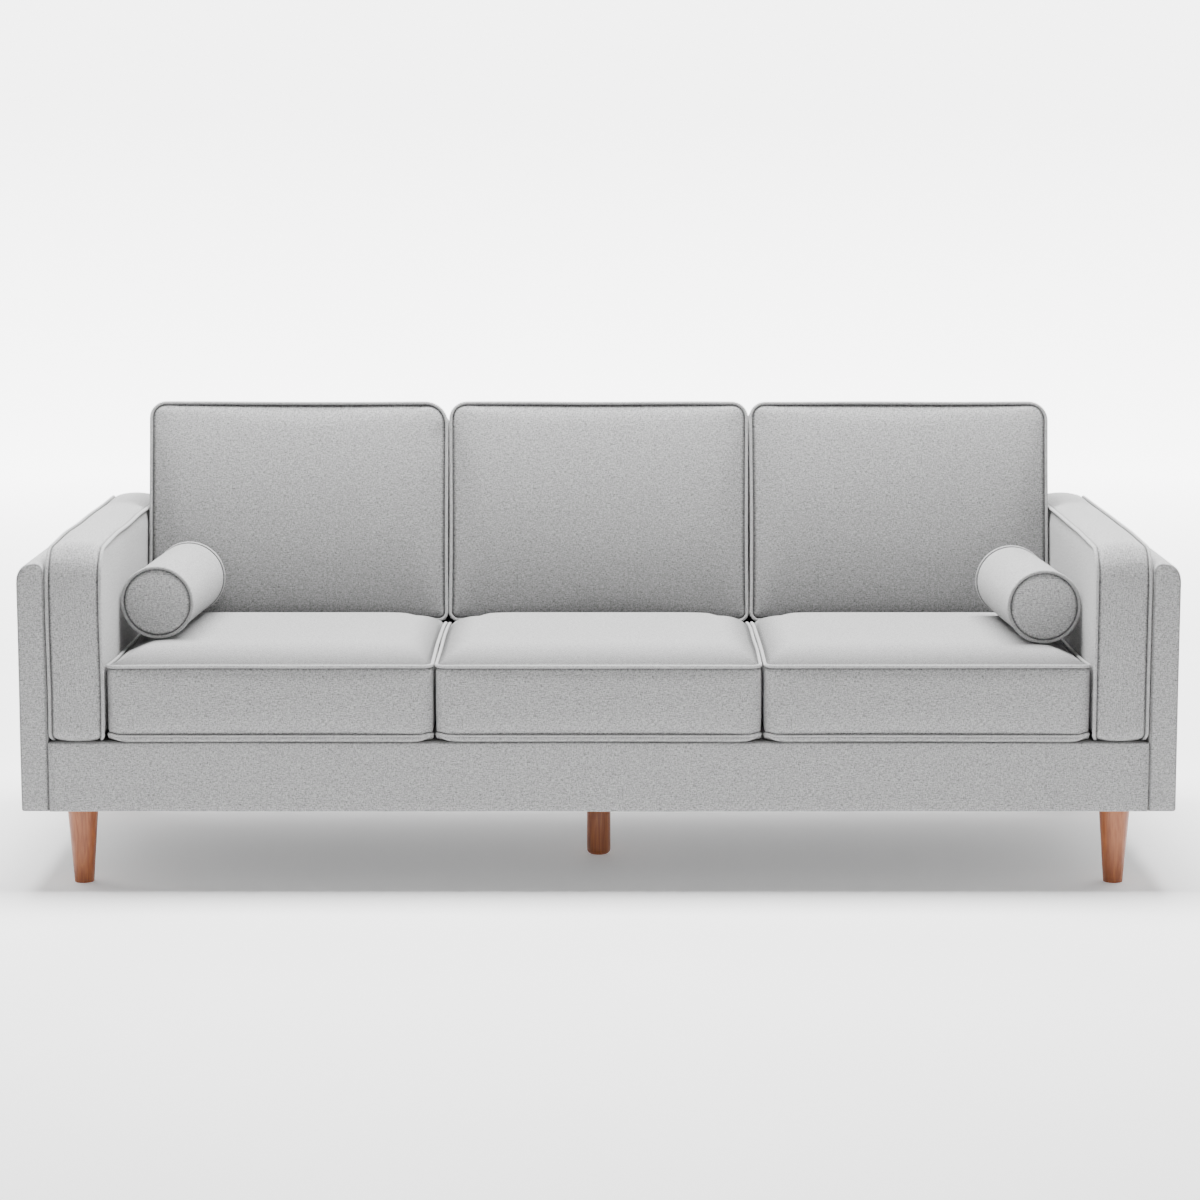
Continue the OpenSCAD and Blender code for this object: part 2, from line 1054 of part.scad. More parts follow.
module bolster_core_left() {
  bolster_core(-1);
}

module bolster_core_right() {
  bolster_core(1);
}

// ---------- the parts ----------

front_rail();
rear_rail();
side_rail_left();
side_rail_right();
center_rail();
corner_blocks();
leg_plates();
leg_plate_screws();
hanger_bolts();
leg_front_left();
leg_front_right();
leg_rear_left();
leg_rear_right();
leg_center();
seat_webbing();
deck_pad();
deck_cover();
apron_foam();
apron_cover();
rear_base_cover();
dust_cover();
back_posts();
back_top_rail();
back_lower_rails();
back_webbing();
back_panel();
back_foam();
back_cover();
back_bolts();
arm_posts_left();
arm_posts_right();
arm_rails_left();
arm_rails_right();
arm_skins_left();
arm_skins_right();
arm_cover_left();
arm_cover_right();
pad_board_left();
pad_board_right();
pad_foam_left();
pad_foam_right();
pad_cover_left();
pad_cover_right();
arm_bolts();
seat_cover_left();
seat_cover_center();
seat_cover_right();
seat_core_left();
seat_core_center();
seat_core_right();
back_cushion_cover_left();
back_cushion_cover_center();
back_cushion_cover_right();
back_cushion_core_left();
back_cushion_core_center();
back_cushion_core_right();
bolster_cover_left();
bolster_cover_right();
bolster_core_left();
bolster_core_right();
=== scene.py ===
"""Three-seat sofa with wooden legs: soft pieces, materials, light and camera round the CAD frame."""
import math

import bpy
import numpy as np
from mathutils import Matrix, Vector


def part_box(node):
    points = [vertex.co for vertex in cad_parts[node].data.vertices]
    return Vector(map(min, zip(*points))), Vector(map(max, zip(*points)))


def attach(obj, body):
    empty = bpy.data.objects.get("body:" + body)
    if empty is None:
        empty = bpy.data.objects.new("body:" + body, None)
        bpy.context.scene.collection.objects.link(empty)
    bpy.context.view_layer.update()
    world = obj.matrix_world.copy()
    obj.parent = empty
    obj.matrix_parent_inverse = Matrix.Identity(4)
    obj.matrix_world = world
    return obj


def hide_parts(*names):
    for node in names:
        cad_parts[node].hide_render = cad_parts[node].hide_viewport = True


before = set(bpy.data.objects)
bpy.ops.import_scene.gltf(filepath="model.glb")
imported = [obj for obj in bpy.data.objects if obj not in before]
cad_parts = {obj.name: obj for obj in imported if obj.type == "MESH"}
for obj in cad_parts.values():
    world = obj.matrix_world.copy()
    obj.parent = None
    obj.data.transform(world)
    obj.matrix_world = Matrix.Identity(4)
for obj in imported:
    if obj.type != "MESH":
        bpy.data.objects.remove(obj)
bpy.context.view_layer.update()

SCENE = bpy.context.scene
MM = 0.001

PIPE_R = 3.5 * MM          # the piping's radius
PIPE_IN = 1.0 * MM         # the piping's centre lies this far inside both faces beside it
PIPE_SEAM = 3.6 * MM       # the seam lies this far inside both faces, behind the piping
PRESSED = 23.0 * MM        # how far a back cushion sinks into the seat cushion under it
SIDES = ("left", "center", "right")


# ---------- outlines ----------

def graded(length, fine, coarse):
    """Fractions from 0 to 1 along a side, close together at both ends."""
    steps, step = [], fine
    while step < coarse and 2 * (sum(steps) + step) < 0.8 * length:
        steps.append(step)
        step *= 1.5
    rest = length - 2 * sum(steps)
    count = max(2, round(rest / coarse))
    sizes = steps + [rest / count] * count + steps[::-1]
    marks = np.concatenate([[0.0], np.cumsum(sizes)]) / length
    marks[-1] = 1.0
    return marks


class Outline:
    """A rounded rectangle. Its four sides run from the middle of one corner to the middle of the next."""

    def __init__(self, w, h, radii, fine=3.5 * MM, coarse=13 * MM):
        self.w, self.h, self.radii = w, h, radii
        self.gu = graded(w, fine, coarse)
        self.gv = graded(h, fine, coarse)

    def side(self, k, marks, inset):
        w, h = self.w - 2 * inset, self.h - 2 * inset
        radii = [max(r - inset, 0.5 * MM) for r in self.radii]
        ra, rb = radii[k], radii[(k + 1) % 4]
        centres = [
            (-w / 2 + radii[0], -h / 2 + radii[0]), (w / 2 - radii[1], -h / 2 + radii[1]),
            (w / 2 - radii[2], h / 2 - radii[2]), (-w / 2 + radii[3], h / 2 - radii[3]),
        ]
        ca, cb = np.array(centres[k]), np.array(centres[(k + 1) % 4])
        straight = (w if k % 2 == 0 else h) - ra - rb
        arc_a, arc_b = ra * math.pi / 4, rb * math.pi / 4
        s = marks * (arc_a + straight + arc_b)
        turn = math.radians(225 + 90 * k)
        square = turn + math.pi / 4
        out = np.array([math.cos(square), math.sin(square)])
        along = np.array([math.cos(square + math.pi / 2), math.sin(square + math.pi / 2)])
        a = turn + np.clip(s, 0, arc_a) / ra
        pts = ca + ra * np.stack([np.cos(a), np.sin(a)], 1)
        mid = ca + ra * out + np.clip(s - arc_a, 0, straight)[:, None] * along
        b = square + np.clip(s - arc_a - straight, 0, arc_b) / rb
        end = cb + rb * np.stack([np.cos(b), np.sin(b)], 1)
        pts = np.where((s > arc_a)[:, None], mid, pts)
        return np.where((s > arc_a + straight)[:, None], end, pts)

    def sides(self, inset=0.0):
        return [self.side(k, (self.gu, self.gv)[k % 2], inset) for k in range(4)]

    def ring(self, inset=0.0):
        return np.concatenate([s[:-1] for s in self.sides(inset)])

    def dense(self, inset, step):
        out = []
        for k in range(4):
            n = max(8, round((self.w if k % 2 == 0 else self.h) / step))
            # closer points in the corners than along the sides
            t = np.linspace(0, 1, n, endpoint=False)
            t = t - 0.75 * np.sin(2 * math.pi * t) / (2 * math.pi)
            out.append(self.side(k, t, inset))
        return np.concatenate(out)

    def grid(self, inset=0.0):
        """The panel inside the ring, as a (rows, columns, 2) net."""
        bottom, right, top, left = self.sides(inset)
        top, left = top[::-1], left[::-1]
        u, v = self.gu[None, :, None], self.gv[:, None, None]
        net = (1 - v) * bottom[None] + v * top[None] + (1 - u) * left[:, None] + u * right[:, None]
        return net - ((1 - u) * (1 - v) * bottom[0] + u * (1 - v) * bottom[-1]
                      + (1 - u) * v * top[0] + u * v * top[-1])


def to_ring(points, ring):
    """Distance of each point from the closed ring."""
    best = np.full(len(points), 1e9)
    for a, b in zip(ring, np.roll(ring, -1, 0)):
        d = b - a
        t = np.clip(((points - a) @ d) / max(d @ d, 1e-12), 0, 1)
        best = np.minimum(best, np.linalg.norm(points - (a + t[:, None] * d), axis=1))
    return best


def lengths(ring):
    """How far along the closed ring each of its points lies, and then its whole length."""
    return np.concatenate([[0], np.cumsum(np.linalg.norm(np.roll(ring, -1, 0) - ring, axis=1))])


# ---------- meshes ----------

def make_object(name, verts, faces, uvs, seam=None):
    mesh = bpy.data.meshes.new(name)
    mesh.from_pydata(verts.tolist(), [], faces)
    layer = mesh.uv_layers.new(name="weave")
    layer.data.foreach_set("uv", np.asarray(uvs, np.float32).ravel())
    seam = np.ones(len(verts)) if seam is None else seam
    mesh.attributes.new("seam", "FLOAT", "POINT").data.foreach_set("value", np.asarray(seam, np.float32))
    mesh.shade_smooth()
    obj = bpy.data.objects.new(name, mesh)
    SCENE.collection.objects.link(obj)
    return obj


def outward(verts, faces):
    """True where the faces of the closed mesh look outwards."""
    f = np.array(faces)
    a, b, c, d = (verts[f[:, i]] for i in range(4))
    return (np.einsum("ij,ij->i", a, np.cross(b, c)) + np.einsum("ij,ij->i", a, np.cross(c, d))).sum() > 0


def flipped(faces, uvs):
    uvs = np.asarray(uvs).reshape(-1, 4, 2)[:, ::-1]
    return [f[::-1] for f in faces], uvs.reshape(-1, 2)


def tube(name, path, radius, up, sides=12):
    """A closed cord along the path. up holds one direction for each point, never along the path."""
    n = len(path)
    tangent = np.roll(path, -1, 0) - np.roll(path, 1, 0)
    tangent /= np.linalg.norm(tangent, axis=1)[:, None]
    across = np.cross(tangent, up)
    across /= np.linalg.norm(across, axis=1)[:, None]
    up = np.cross(across, tangent)
    angle = np.arange(sides) * 2 * math.pi / sides
    verts = path[:, None] + radius * (np.cos(angle)[None, :, None] * up[:, None]
                                      + np.sin(angle)[None, :, None] * across[:, None])
    # the cord is sewn in between its inner side and its foot: seam is the way round to the nearer one
    outer = np.sign(np.sum(across * (path - path.mean(axis=0)), axis=1))[:, None]
    turned = np.arctan2(np.sin(angle)[None, :] * outer, np.cos(angle)[None, :] + 0 * outer)
    seam = 1.3 * radius * np.maximum(np.minimum(turned + math.pi / 2, math.pi - turned), 0)
    # this nearness drives the painted shade along the cord's sides
    s = lengths(path)
    faces, uvs = [], []
    for i in range(n):
        for j in range(sides):
            i2, j2 = (i + 1) % n, (j + 1) % sides
            faces.append((i * sides + j, i2 * sides + j, i2 * sides + j2, i * sides + j2))
            y0, y1 = j * 2 * math.pi * radius / sides, (j + 1) * 2 * math.pi * radius / sides
            uvs += [(s[i], y0), (s[i + 1], y0), (s[i + 1], y1), (s[i], y1)]
    verts = verts.reshape(-1, 3)
    if not outward(verts, faces):
        faces, uvs = flipped(faces, uvs)
    return make_object(name, verts, faces, uvs, seam.reshape(-1))


class Boxed:
    """A boxed cushion: two panels of the same outline joined by a boxing strip.
    Its own axes are u and v over a panel and w from the low panel to the high one."""

    def __init__(self, name, outline, low, high, crown_low, crown_high, bulge,
                 place, unplace, warp=None, seam_in=PIPE_SEAM, seam_drop=PIPE_SEAM, edge=4 * MM,
                 boxy=38 * MM, strip_step=13 * MM, faint=0.0, foot_seam=None):
        self.name, self.outline = name, outline
        self.low, self.high = low, high
        self.place, self.unplace = place, unplace
        self.warp = warp or (lambda p: p)
        w1 = high - seam_drop
        w0, low_in = (low + seam_drop, seam_in) if foot_seam is None else (low, 4.5 * MM)
        net, net_low = outline.grid(seam_in), outline.grid(low_in)
        rows, cols = net.shape[:2]
        flat, flat_low = net.reshape(-1, 2), net_low.reshape(-1, 2)
        ring0 = outline.ring(seam_in)
        inside = to_ring(flat, ring0)
        half = inside.max()
        rise = seam_drop * np.clip(inside / (3.5 * MM), 0, 1)
        crown = 0.72 * np.sqrt(1 - (1 - np.clip(inside / boxy, 0, 1)) ** 2) \
            + 0.28 * (1 - (1 - np.clip(inside / half, 0, 1)) ** 2)
        hi = np.column_stack([flat, w1 + rise + crown_high * crown])
        lo = np.column_stack([flat_low, w0 - (rise if foot_seam is None else 0) - crown_low * crown])
        # the strip's rows: height, how far inside the outline, distance from the nearest seam
        ladder_rows = []
        end = w0 if foot_seam is None else foot_seam
        for t in graded(w1 - end, 3 * MM, strip_step)[1:-1]:
            w = w1 + (end - w1) * t
            d = min(w1 - w, w - end)
            k = 1 - min(d / edge, 1)
            inset = seam_in * (1 - math.sqrt(max(0.0, 1 - k * k))) if edge > 4.5 * MM else seam_in * k
            swell = 1 - (1 - min(2 * d / (w1 - end), 1)) ** 2
            ladder_rows.append((w, inset - bulge * swell, d))
        if foot_seam is not None:
            ladder_rows.append((foot_seam, 4.2 * MM, 0.0))
            for down, inset in ((1.2, -2.0), (4.0, -2.6), (7.5, -2.5), (10.4, -0.7)):
                ladder_rows.append((foot_seam - down * MM, inset * MM, (down + 4) * MM))
        n = len(ring0)
        strip = [np.column_stack([outline.ring(inset), np.full(n, w)]) for w, inset, d in ladder_rows]
        local = np.concatenate([hi, lo] + strip)
        low_seam = inside if foot_seam is None else inside + 0.02
        self.seam = np.concatenate([inside, low_seam] + [np.full(n, d) for w, inset, d in ladder_rows])
        self.panel = rows * cols
        net_ids = np.arange(rows * cols).reshape(rows, cols)
        edge_ids = np.concatenate([net_ids[0, :-1], net_ids[:-1, -1], net_ids[-1, :0:-1], net_ids[:0:-1, 0]])
        ladder = [edge_ids] + [2 * rows * cols + k * n + np.arange(n) for k in range(len(ladder_rows))]
        ladder.append(edge_ids + rows * cols)
        self.loops = [ladder[0], ladder[-1]]
        creased = list(self.loops)
        if foot_seam is not None:
            creased = [ladder[0], ladder[-6]]
            self.loops = self.loops + ladder[-6:-1]
        faces, uvs = [], []
        for j in range(rows - 1):
            for i in range(cols - 1):
                quad = (net_ids[j, i], net_ids[j, i + 1], net_ids[j + 1, i + 1], net_ids[j + 1, i])
                uv = [tuple(flat[q]) for q in quad]
                faces.append(tuple(int(q) for q in quad))
                uvs += uv
                faces.append(tuple(int(q) + rows * cols for q in quad[::-1]))
                uvs += uv[::-1]
        levels = [0.0] + [w1 - w for w, inset, d in ladder_rows] + [w1 - w0]
        s = lengths(ring0)
        for k in range(len(ladder) - 1):
            a, b = ladder[k], ladder[k + 1]
            for i in range(n):
                i2 = (i + 1) % n
                faces.append((int(a[i]), int(b[i]), int(b[i2]), int(a[i2])))
                uvs += [(s[i], levels[k]), (s[i], levels[k + 1])]
                uvs += [(s[i + 1], levels[k + 1]), (s[i + 1], levels[k])]
        verts = place(self.warp(local))
        if not outward(verts, faces):
            faces, uvs = flipped(faces, uvs)
        self.start = verts
        # faint moves every point further from its seam, so the painted seam shade is weaker there
        self.obj = make_object(name, verts, faces, uvs, self.seam + faint)
        crease = self.obj.data.attributes.new("crease_edge", "FLOAT", "EDGE")
        seam_pairs = set()
        for loop in creased:
            for a, b in zip(loop, np.roll(loop, -1)):
                seam_pairs.add((min(int(a), int(b)), max(int(a), int(b))))
        pairs = np.zeros(len(self.obj.data.edges) * 2, np.int32)
        self.obj.data.edges.foreach_get("vertices", pairs)
        pairs = pairs.reshape(-1, 2)
        crease.data.foreach_set("value", np.array(
            [1.0 if (min(a, b), max(a, b)) in seam_pairs else 0.0 for a, b in pairs.tolist()], np.float32))

    def cord(self, name, level, at=None, step=6 * MM):
        """The piping along the high (1) or low (-1) seam, or along the strip at a height."""
        ring = self.outline.dense(PIPE_IN, step)
        w = at or (self.high - PIPE_IN if level > 0 else self.low + PIPE_IN)
        path = self.place(self.warp(np.column_stack([ring, np.full(len(ring), w)])))
        above = self.place(self.warp(np.column_stack([ring, np.full(len(ring), w + level * MM)])))
        return tube(name, path, PIPE_R, above - path)


def soft(x, limit, knee):
    """x, held smoothly below the limit."""
    start = limit - knee
    over = np.maximum(x - start, 0)
    return np.where(x > start, start + knee * (1 - np.exp(-over / knee)), x)


def inflate(forms, pins, pressure=4.0, frames=20):
    """Cloth under pressure on every form at once. pins holds one weight for each vertex."""
    for form, pin in zip(forms, pins):
        group = form.obj.vertex_groups.new(name="pin")
        for value in np.unique(pin):
            if value > 0:
                group.add(np.flatnonzero(pin == value).tolist(), float(value), "REPLACE")
        cloth = form.obj.modifiers.new("Cloth", "CLOTH")
        s = cloth.settings
        s.quality = 4
        s.mass = 0.25
        s.tension_stiffness = s.compression_stiffness = 18
        s.shear_stiffness = 8
        s.bending_stiffness = 1.5
        s.use_pressure = True
        s.uniform_pressure_force = pressure
        s.effector_weights.gravity = 0
        s.vertex_group_mass = "pin"
        cloth.collision_settings.use_collision = False
        cloth.collision_settings.use_self_collision = False
        cloth.point_cache.frame_start, cloth.point_cache.frame_end = 1, frames
    for f in range(1, frames + 1):
        SCENE.frame_set(f)
    graph = bpy.context.evaluated_depsgraph_get()
    for form in forms:
        shape = form.obj.evaluated_get(graph).to_mesh()
        co = np.zeros(len(shape.vertices) * 3, np.float32)
        shape.vertices.foreach_get("co", co)
        form.swollen = co.reshape(-1, 3).astype(float)
    for form in forms:
        form.obj.modifiers.clear()
        form.obj.vertex_groups.clear()
    SCENE.frame_set(1)


def settle(form, cap, fit):
    """Takes the simulated shape: no point moves further than cap, then fit holds it in its space."""
    start = form.start
    moved = getattr(form, "swollen", start) - start
    length = np.linalg.norm(moved, axis=1)
    scale = np.where(length > 1e-9, soft(length, cap, 0.4 * cap) / np.maximum(length, 1e-9), 1.0)
    verts = start + moved * scale[:, None]
    verts = form.place(fit(form.unplace(verts)))
    form.obj.data.vertices.foreach_set("co", verts.astype(np.float32).ravel())
    form.obj.data.update()
    subdivide(form.obj)


def subdivide(obj):
    sub = obj.modifiers.new("Subdivision", "SUBSURF")
    sub.levels = sub.render_levels = 1
    sub.uv_smooth = "NONE"
    mesh = bpy.data.meshes.new_from_object(obj.evaluated_get(bpy.context.evaluated_depsgraph_get()))
    old = obj.data
    obj.modifiers.clear()
    obj.data = mesh
    mesh.name = obj.name
    mesh.shade_smooth()
    bpy.data.meshes.remove(old)


class Waves:
    """Slow, seeded unevenness: the same every run."""

    def __init__(self, seed, sizes, count=5):
        rng = np.random.default_rng(seed)
        self.terms = []
        for _ in range(count):
            direction = rng.normal(size=3)
            direction /= np.linalg.norm(direction)
            length = rng.uniform(*sizes)
            phase = rng.uniform(0, 2 * math.pi)
            self.terms.append((direction * 2 * math.pi / length, phase, rng.normal(size=3)))

    def __call__(self, points, amount):
        out = np.zeros_like(points)
        for k, phase, lean in self.terms:
            out += np.sin(points @ k + phase)[:, None] * lean[None]
        return out * amount / math.sqrt(len(self.terms))


# ---------- materials ----------

class Shader:
    """A short way to write a material's nodes."""

    def __init__(self, name):
        self.material = bpy.data.materials.new(name)
        self.material.use_nodes = True
        self.tree = self.material.node_tree
        self.tree.nodes.clear()

    def node(self, kind, inputs=None, **props):
        n = self.tree.nodes.new(kind)
        for key, value in props.items():
            setattr(n, key, value)
        for key, value in (inputs or {}).items():
            self.put(n.inputs[key], value)
        return n

    def put(self, socket, value):
        if isinstance(value, bpy.types.NodeSocket):
            self.tree.links.new(value, socket)
        else:
            socket.default_value = value

    def math(self, op, a, b=0.0):
        return self.node("ShaderNodeMath", {0: a, 1: b}, operation=op).outputs[0]

    def times(self, a, b):
        return self.math("MULTIPLY", a, b)

    def plus(self, a, b):
        return self.math("ADD", a, b)

    def minus(self, a, b):
        return self.math("SUBTRACT", a, b)

    def noise(self, vector, scale, detail=2.0, rough=0.5):
        return self.node("ShaderNodeTexNoise", {"Vector": vector, "Scale": scale, "Detail": detail,
                                                "Roughness": rough}).outputs[0]

    def vector(self, x, y, z=0.0):
        return self.node("ShaderNodeCombineXYZ", {0: x, 1: y, 2: z}).outputs[0]

    def span(self, value, a, b, c=0.0, d=1.0):
        """value taken from a..b to c..d, and held there."""
        return self.node("ShaderNodeMapRange", {0: value, 1: a, 2: b, 3: c, 4: d}, clamp=True).outputs[0]

    def mix(self, factor, a, b):
        n = self.node("ShaderNodeMix", data_type="RGBA")
        self.put(n.inputs[0], factor)
        self.put(n.inputs[6], a)
        self.put(n.inputs[7], b)
        return n.outputs[2]

    def ramp(self, value, stops):
        n = self.node("ShaderNodeValToRGB", {0: value})
        marks = n.color_ramp.elements
        while len(marks) < len(stops):
            marks.new(0.5)
        for mark, (at, colour) in zip(marks, stops):
            mark.position = at
            mark.color = colour
        return n.outputs[0]

    def object_axes(self):
        at = self.node("ShaderNodeTexCoord").outputs["Object"]
        split = self.node("ShaderNodeSeparateXYZ", {0: at}).outputs
        return at, split[0], split[1], split[2]

    def bump(self, height, strength, distance, normal=None):
        n = self.node("ShaderNodeBump", {"Height": height, "Strength": strength, "Distance": distance})
        if normal is not None:
            self.put(n.inputs["Normal"], normal)
        return n.outputs[0]

    def finish(self, colour, roughness, normal=None, **inputs):
        p = self.node("ShaderNodeBsdfPrincipled", {"Base Color": colour, "Roughness": roughness})
        for key, value in inputs.items():
            self.put(p.inputs[key.replace("_", " ")], value)
        if normal is not None:
            self.put(p.inputs["Normal"], normal)
        out = self.node("ShaderNodeOutputMaterial")
        self.tree.links.new(p.outputs[0], out.inputs[0])
        return self.material


def woven(name, tone, pitch=1.15 * MM, contrast=0.56, turn=0.0, sheen=0.25):
    """Plain-weave cloth of heathered yarn. It follows the cloth's own layout, in metres."""
    m = Shader(name)
    at = m.node("ShaderNodeUVMap", uv_map="weave").outputs[0]
    if turn:
        at = m.node("ShaderNodeVectorRotate", {"Vector": at, "Angle": turn},
                    rotation_type="Z_AXIS").outputs[0]
    split = m.node("ShaderNodeSeparateXYZ", {0: at}).outputs
    wander = m.times(m.minus(m.noise(at, 60.0, 1.0), 0.5), 0.9 * MM)
    u = m.math("DIVIDE", m.plus(split[0], wander), pitch)
    v = m.math("DIVIDE", m.plus(split[1], wander), pitch)
    iu, iv = m.math("FLOOR", u), m.math("FLOOR", v)
    fu, fv = m.math("FRACT", u), m.math("FRACT", v)

    def hump(f):
        x = m.minus(m.times(f, 2.0), 1.0)
        return m.minus(1.0, m.times(x, x))

    hu, hv = hump(fu), hump(fv)
    over = m.math("MODULO", m.math("ABSOLUTE", m.plus(iu, iv)), 2.0)
    warp = m.times(hu, m.plus(0.55, m.times(hv, 0.45)))
    weft = m.times(hv, m.plus(0.55, m.times(hu, 0.45)))
    height = m.plus(m.times(over, warp), m.times(m.minus(1.0, over), weft))
    # each yarn is spun from light and dark fibre, in streaks along its own length
    yarn_u = m.noise(m.vector(m.times(iu, 3.17), m.times(split[1], 95.0)), 1.0, 2.0, 0.6)
    yarn_v = m.noise(m.vector(m.times(iv, 3.71), m.times(split[0], 95.0), 7.3), 1.0, 2.0, 0.6)
    yarn = m.plus(m.times(over, yarn_u), m.times(m.minus(1.0, over), yarn_v))
    slub_u = m.noise(m.vector(m.times(split[0], 520.0), m.times(split[1], 170.0)), 1.0, 1.0)
    slub_v = m.noise(m.vector(m.times(split[0], 170.0), m.times(split[1], 520.0), 3.1), 1.0, 1.0)
    mottle = m.noise(at, 450.0, 1.0, 0.6)
    slubs = m.minus(m.plus(m.times(slub_u, 0.9), m.times(slub_v, 1.1)), 1.0)
    heather = m.plus(m.times(m.minus(yarn, 0.5), 2.4 * contrast), m.times(slubs, 2.0 * contrast))
    heather = m.plus(heather, m.times(m.minus(mottle, 0.5), 1.8 * contrast))
    cloudy = m.times(m.minus(m.noise(at, 9.0, 2.0), 0.5), 0.06)
    gaps = m.span(height, 0.0, 0.35, -0.30, 0.0)
    value = m.plus(1.0, m.plus(m.plus(heather, cloudy), gaps))
    near = m.node("ShaderNodeAttribute", attribute_name="seam").outputs["Fac"]
    # painted shade: the cloth darkens within a few millimetres of each seam, and on a cord's sides where it
    # meets the panels
    crease = m.span(near, 0.8 * MM, 5 * MM, 0.34, 1.0)
    # the per-point share of painted shade; a negative share is painted light
    painted_shading_scale = m.minus(1.0, m.node("ShaderNodeAttribute", attribute_name="painted_shading").outputs["Fac"])
    value = m.times(m.times(value, crease), m.times(painted_shading_scale, tone))
    colour = m.node("ShaderNodeCombineColor", {0: value, 1: value, 2: value}).outputs[0]
    pucker = m.times(m.span(near, 2 * MM, 34 * MM, 1.0, 0.0), m.noise(at, 55.0, 2.0))
    normal = m.bump(pucker, 0.35, 2.2 * MM)
    normal = m.bump(m.noise(at, 14.0, 2.0), 0.25, 3.0 * MM, normal)
    thick = m.plus(height, m.times(m.plus(slub_u, slub_v), 0.6))
    normal = m.bump(thick, 0.55, 0.45 * MM, normal)
    rough = m.span(m.noise(at, 300.0, 1.0), 0.3, 0.7, 0.86, 0.98)
    return m.finish(colour, rough, normal, Sheen_Weight=sheen, Sheen_Roughness=0.5, Specular_IOR_Level=0.25)


def wood(name, light, dark, axis, rough, coat=0.0):
    """Sawn or turned wood, its grain along one axis."""
    m = Shader(name)
    at, x, y, z = m.object_axes()

    def grain(along, across):
        return m.vector(*[m.times(a, along if i == axis else across) for i, a in enumerate((x, y, z))])

    broad = m.noise(grain(3.0, 42.0), 1.0, 3.0, 0.55)
    bands = m.math("FRACT", m.times(broad, 7.0))
    bands = m.math("ABSOLUTE", m.minus(m.times(bands, 2.0), 1.0))
    fibre = m.noise(grain(35.0, 900.0), 1.0, 2.0)
    tone = m.plus(m.times(bands, 0.55), m.times(fibre, 0.45))
    tone = m.plus(tone, m.times(m.minus(m.noise(at, 6.0, 1.0), 0.5), 0.35))
    colour = m.ramp(tone, [(0.12, dark), (0.85, light)])
    pores = m.span(fibre, 0.28, 0.42)
    normal = m.bump(pores, 0.25, 0.3 * MM)
    return m.finish(colour, m.span(tone, 0.0, 1.0, rough + 0.10, rough - 0.06), normal,
                    Coat_Weight=coat, Coat_Roughness=0.25)


def layered(name, light, dark, ply=2.6 * MM):
    """Plywood: thin layers across X and long grain on its faces."""
    m = Shader(name)
    at, x, y, z = m.object_axes()
    layers = m.math("ROUND", m.math("FRACT", m.math("DIVIDE", x, 2 * ply)))
    grain = m.noise(m.vector(m.times(x, 60.0), m.times(y, 8.0), m.times(z, 160.0)), 1.0, 3.0, 0.6)
    tone = m.plus(m.times(layers, 0.3), m.times(grain, 0.8))
    colour = m.ramp(tone, [(0.2, dark), (0.8, light)])
    return m.finish(colour, m.span(grain, 0.2, 0.8, 0.75, 0.6), m.bump(grain, 0.3, 0.4 * MM))


def fibrous(name, light, dark, scale=400.0, rough=0.8, depth=0.4 * MM):
    """Hardboard, felt and nonwoven cloth: short fibres lying every way."""
    m = Shader(name)
    at = m.object_axes()[0]
    fine = m.noise(at, scale, 4.0, 0.65)
    slow = m.noise(at, 12.0, 2.0)
    tone = m.plus(m.times(fine, 0.75), m.times(slow, 0.25))
    colour = m.ramp(tone, [(0.3, dark), (0.7, light)])
    return m.finish(colour, rough, m.bump(fine, 0.5, depth))


def foam(name):
    m = Shader(name)
    at = m.node("ShaderNodeTexCoord").outputs["Object"]
    cells = m.node("ShaderNodeTexVoronoi", {"Vector": at, "Scale": 700.0}).outputs["Distance"]
    slow = m.noise(at, 8.0, 2.0)
    colour = m.mix(m.span(cells, 0.1, 0.6), (0.62, 0.55, 0.38, 1), (0.86, 0.80, 0.64, 1))
    colour = m.mix(m.span(slow, 0.3, 0.7, 0.0, 0.25), colour, (0.80, 0.68, 0.44, 1))
    return m.finish(colour, 0.95, m.bump(cells, 0.6, 0.5 * MM))


def plated(name):
    m = Shader(name)
    at = m.node("ShaderNodeTexCoord").outputs["Object"]
    cloud = m.noise(at, 90.0, 3.0)
    streaks = m.node("ShaderNodeMapping", {"Vector": at, "Scale": (900.0, 60.0, 60.0)}).outputs[0]
    colour = m.ramp(cloud, [(0.3, (0.50, 0.50, 0.47, 1)), (0.7, (0.66, 0.66, 0.67, 1))])
    normal = m.bump(m.noise(streaks, 1.0, 2.0), 0.15, 0.1 * MM)
    return m.finish(colour, m.span(cloud, 0.3, 0.7, 0.42, 0.28), normal, Metallic=1.0)


def strapping(name):
    """Elastic webbing: dark ribs with two lighter lines, along X or Y alike."""
    m = Shader(name)
    at, x, y, z = m.object_axes()
    rib = m.math("ABSOLUTE", m.math("SINE", m.times(m.plus(x, y), 2600.0)))
    fleck = m.noise(at, 900.0, 2.0)
    colour = m.mix(m.times(rib, fleck), (0.018, 0.018, 0.02, 1), (0.085, 0.085, 0.09, 1))
    return m.finish(colour, 0.8, m.bump(rib, 0.5, 0.5 * MM))


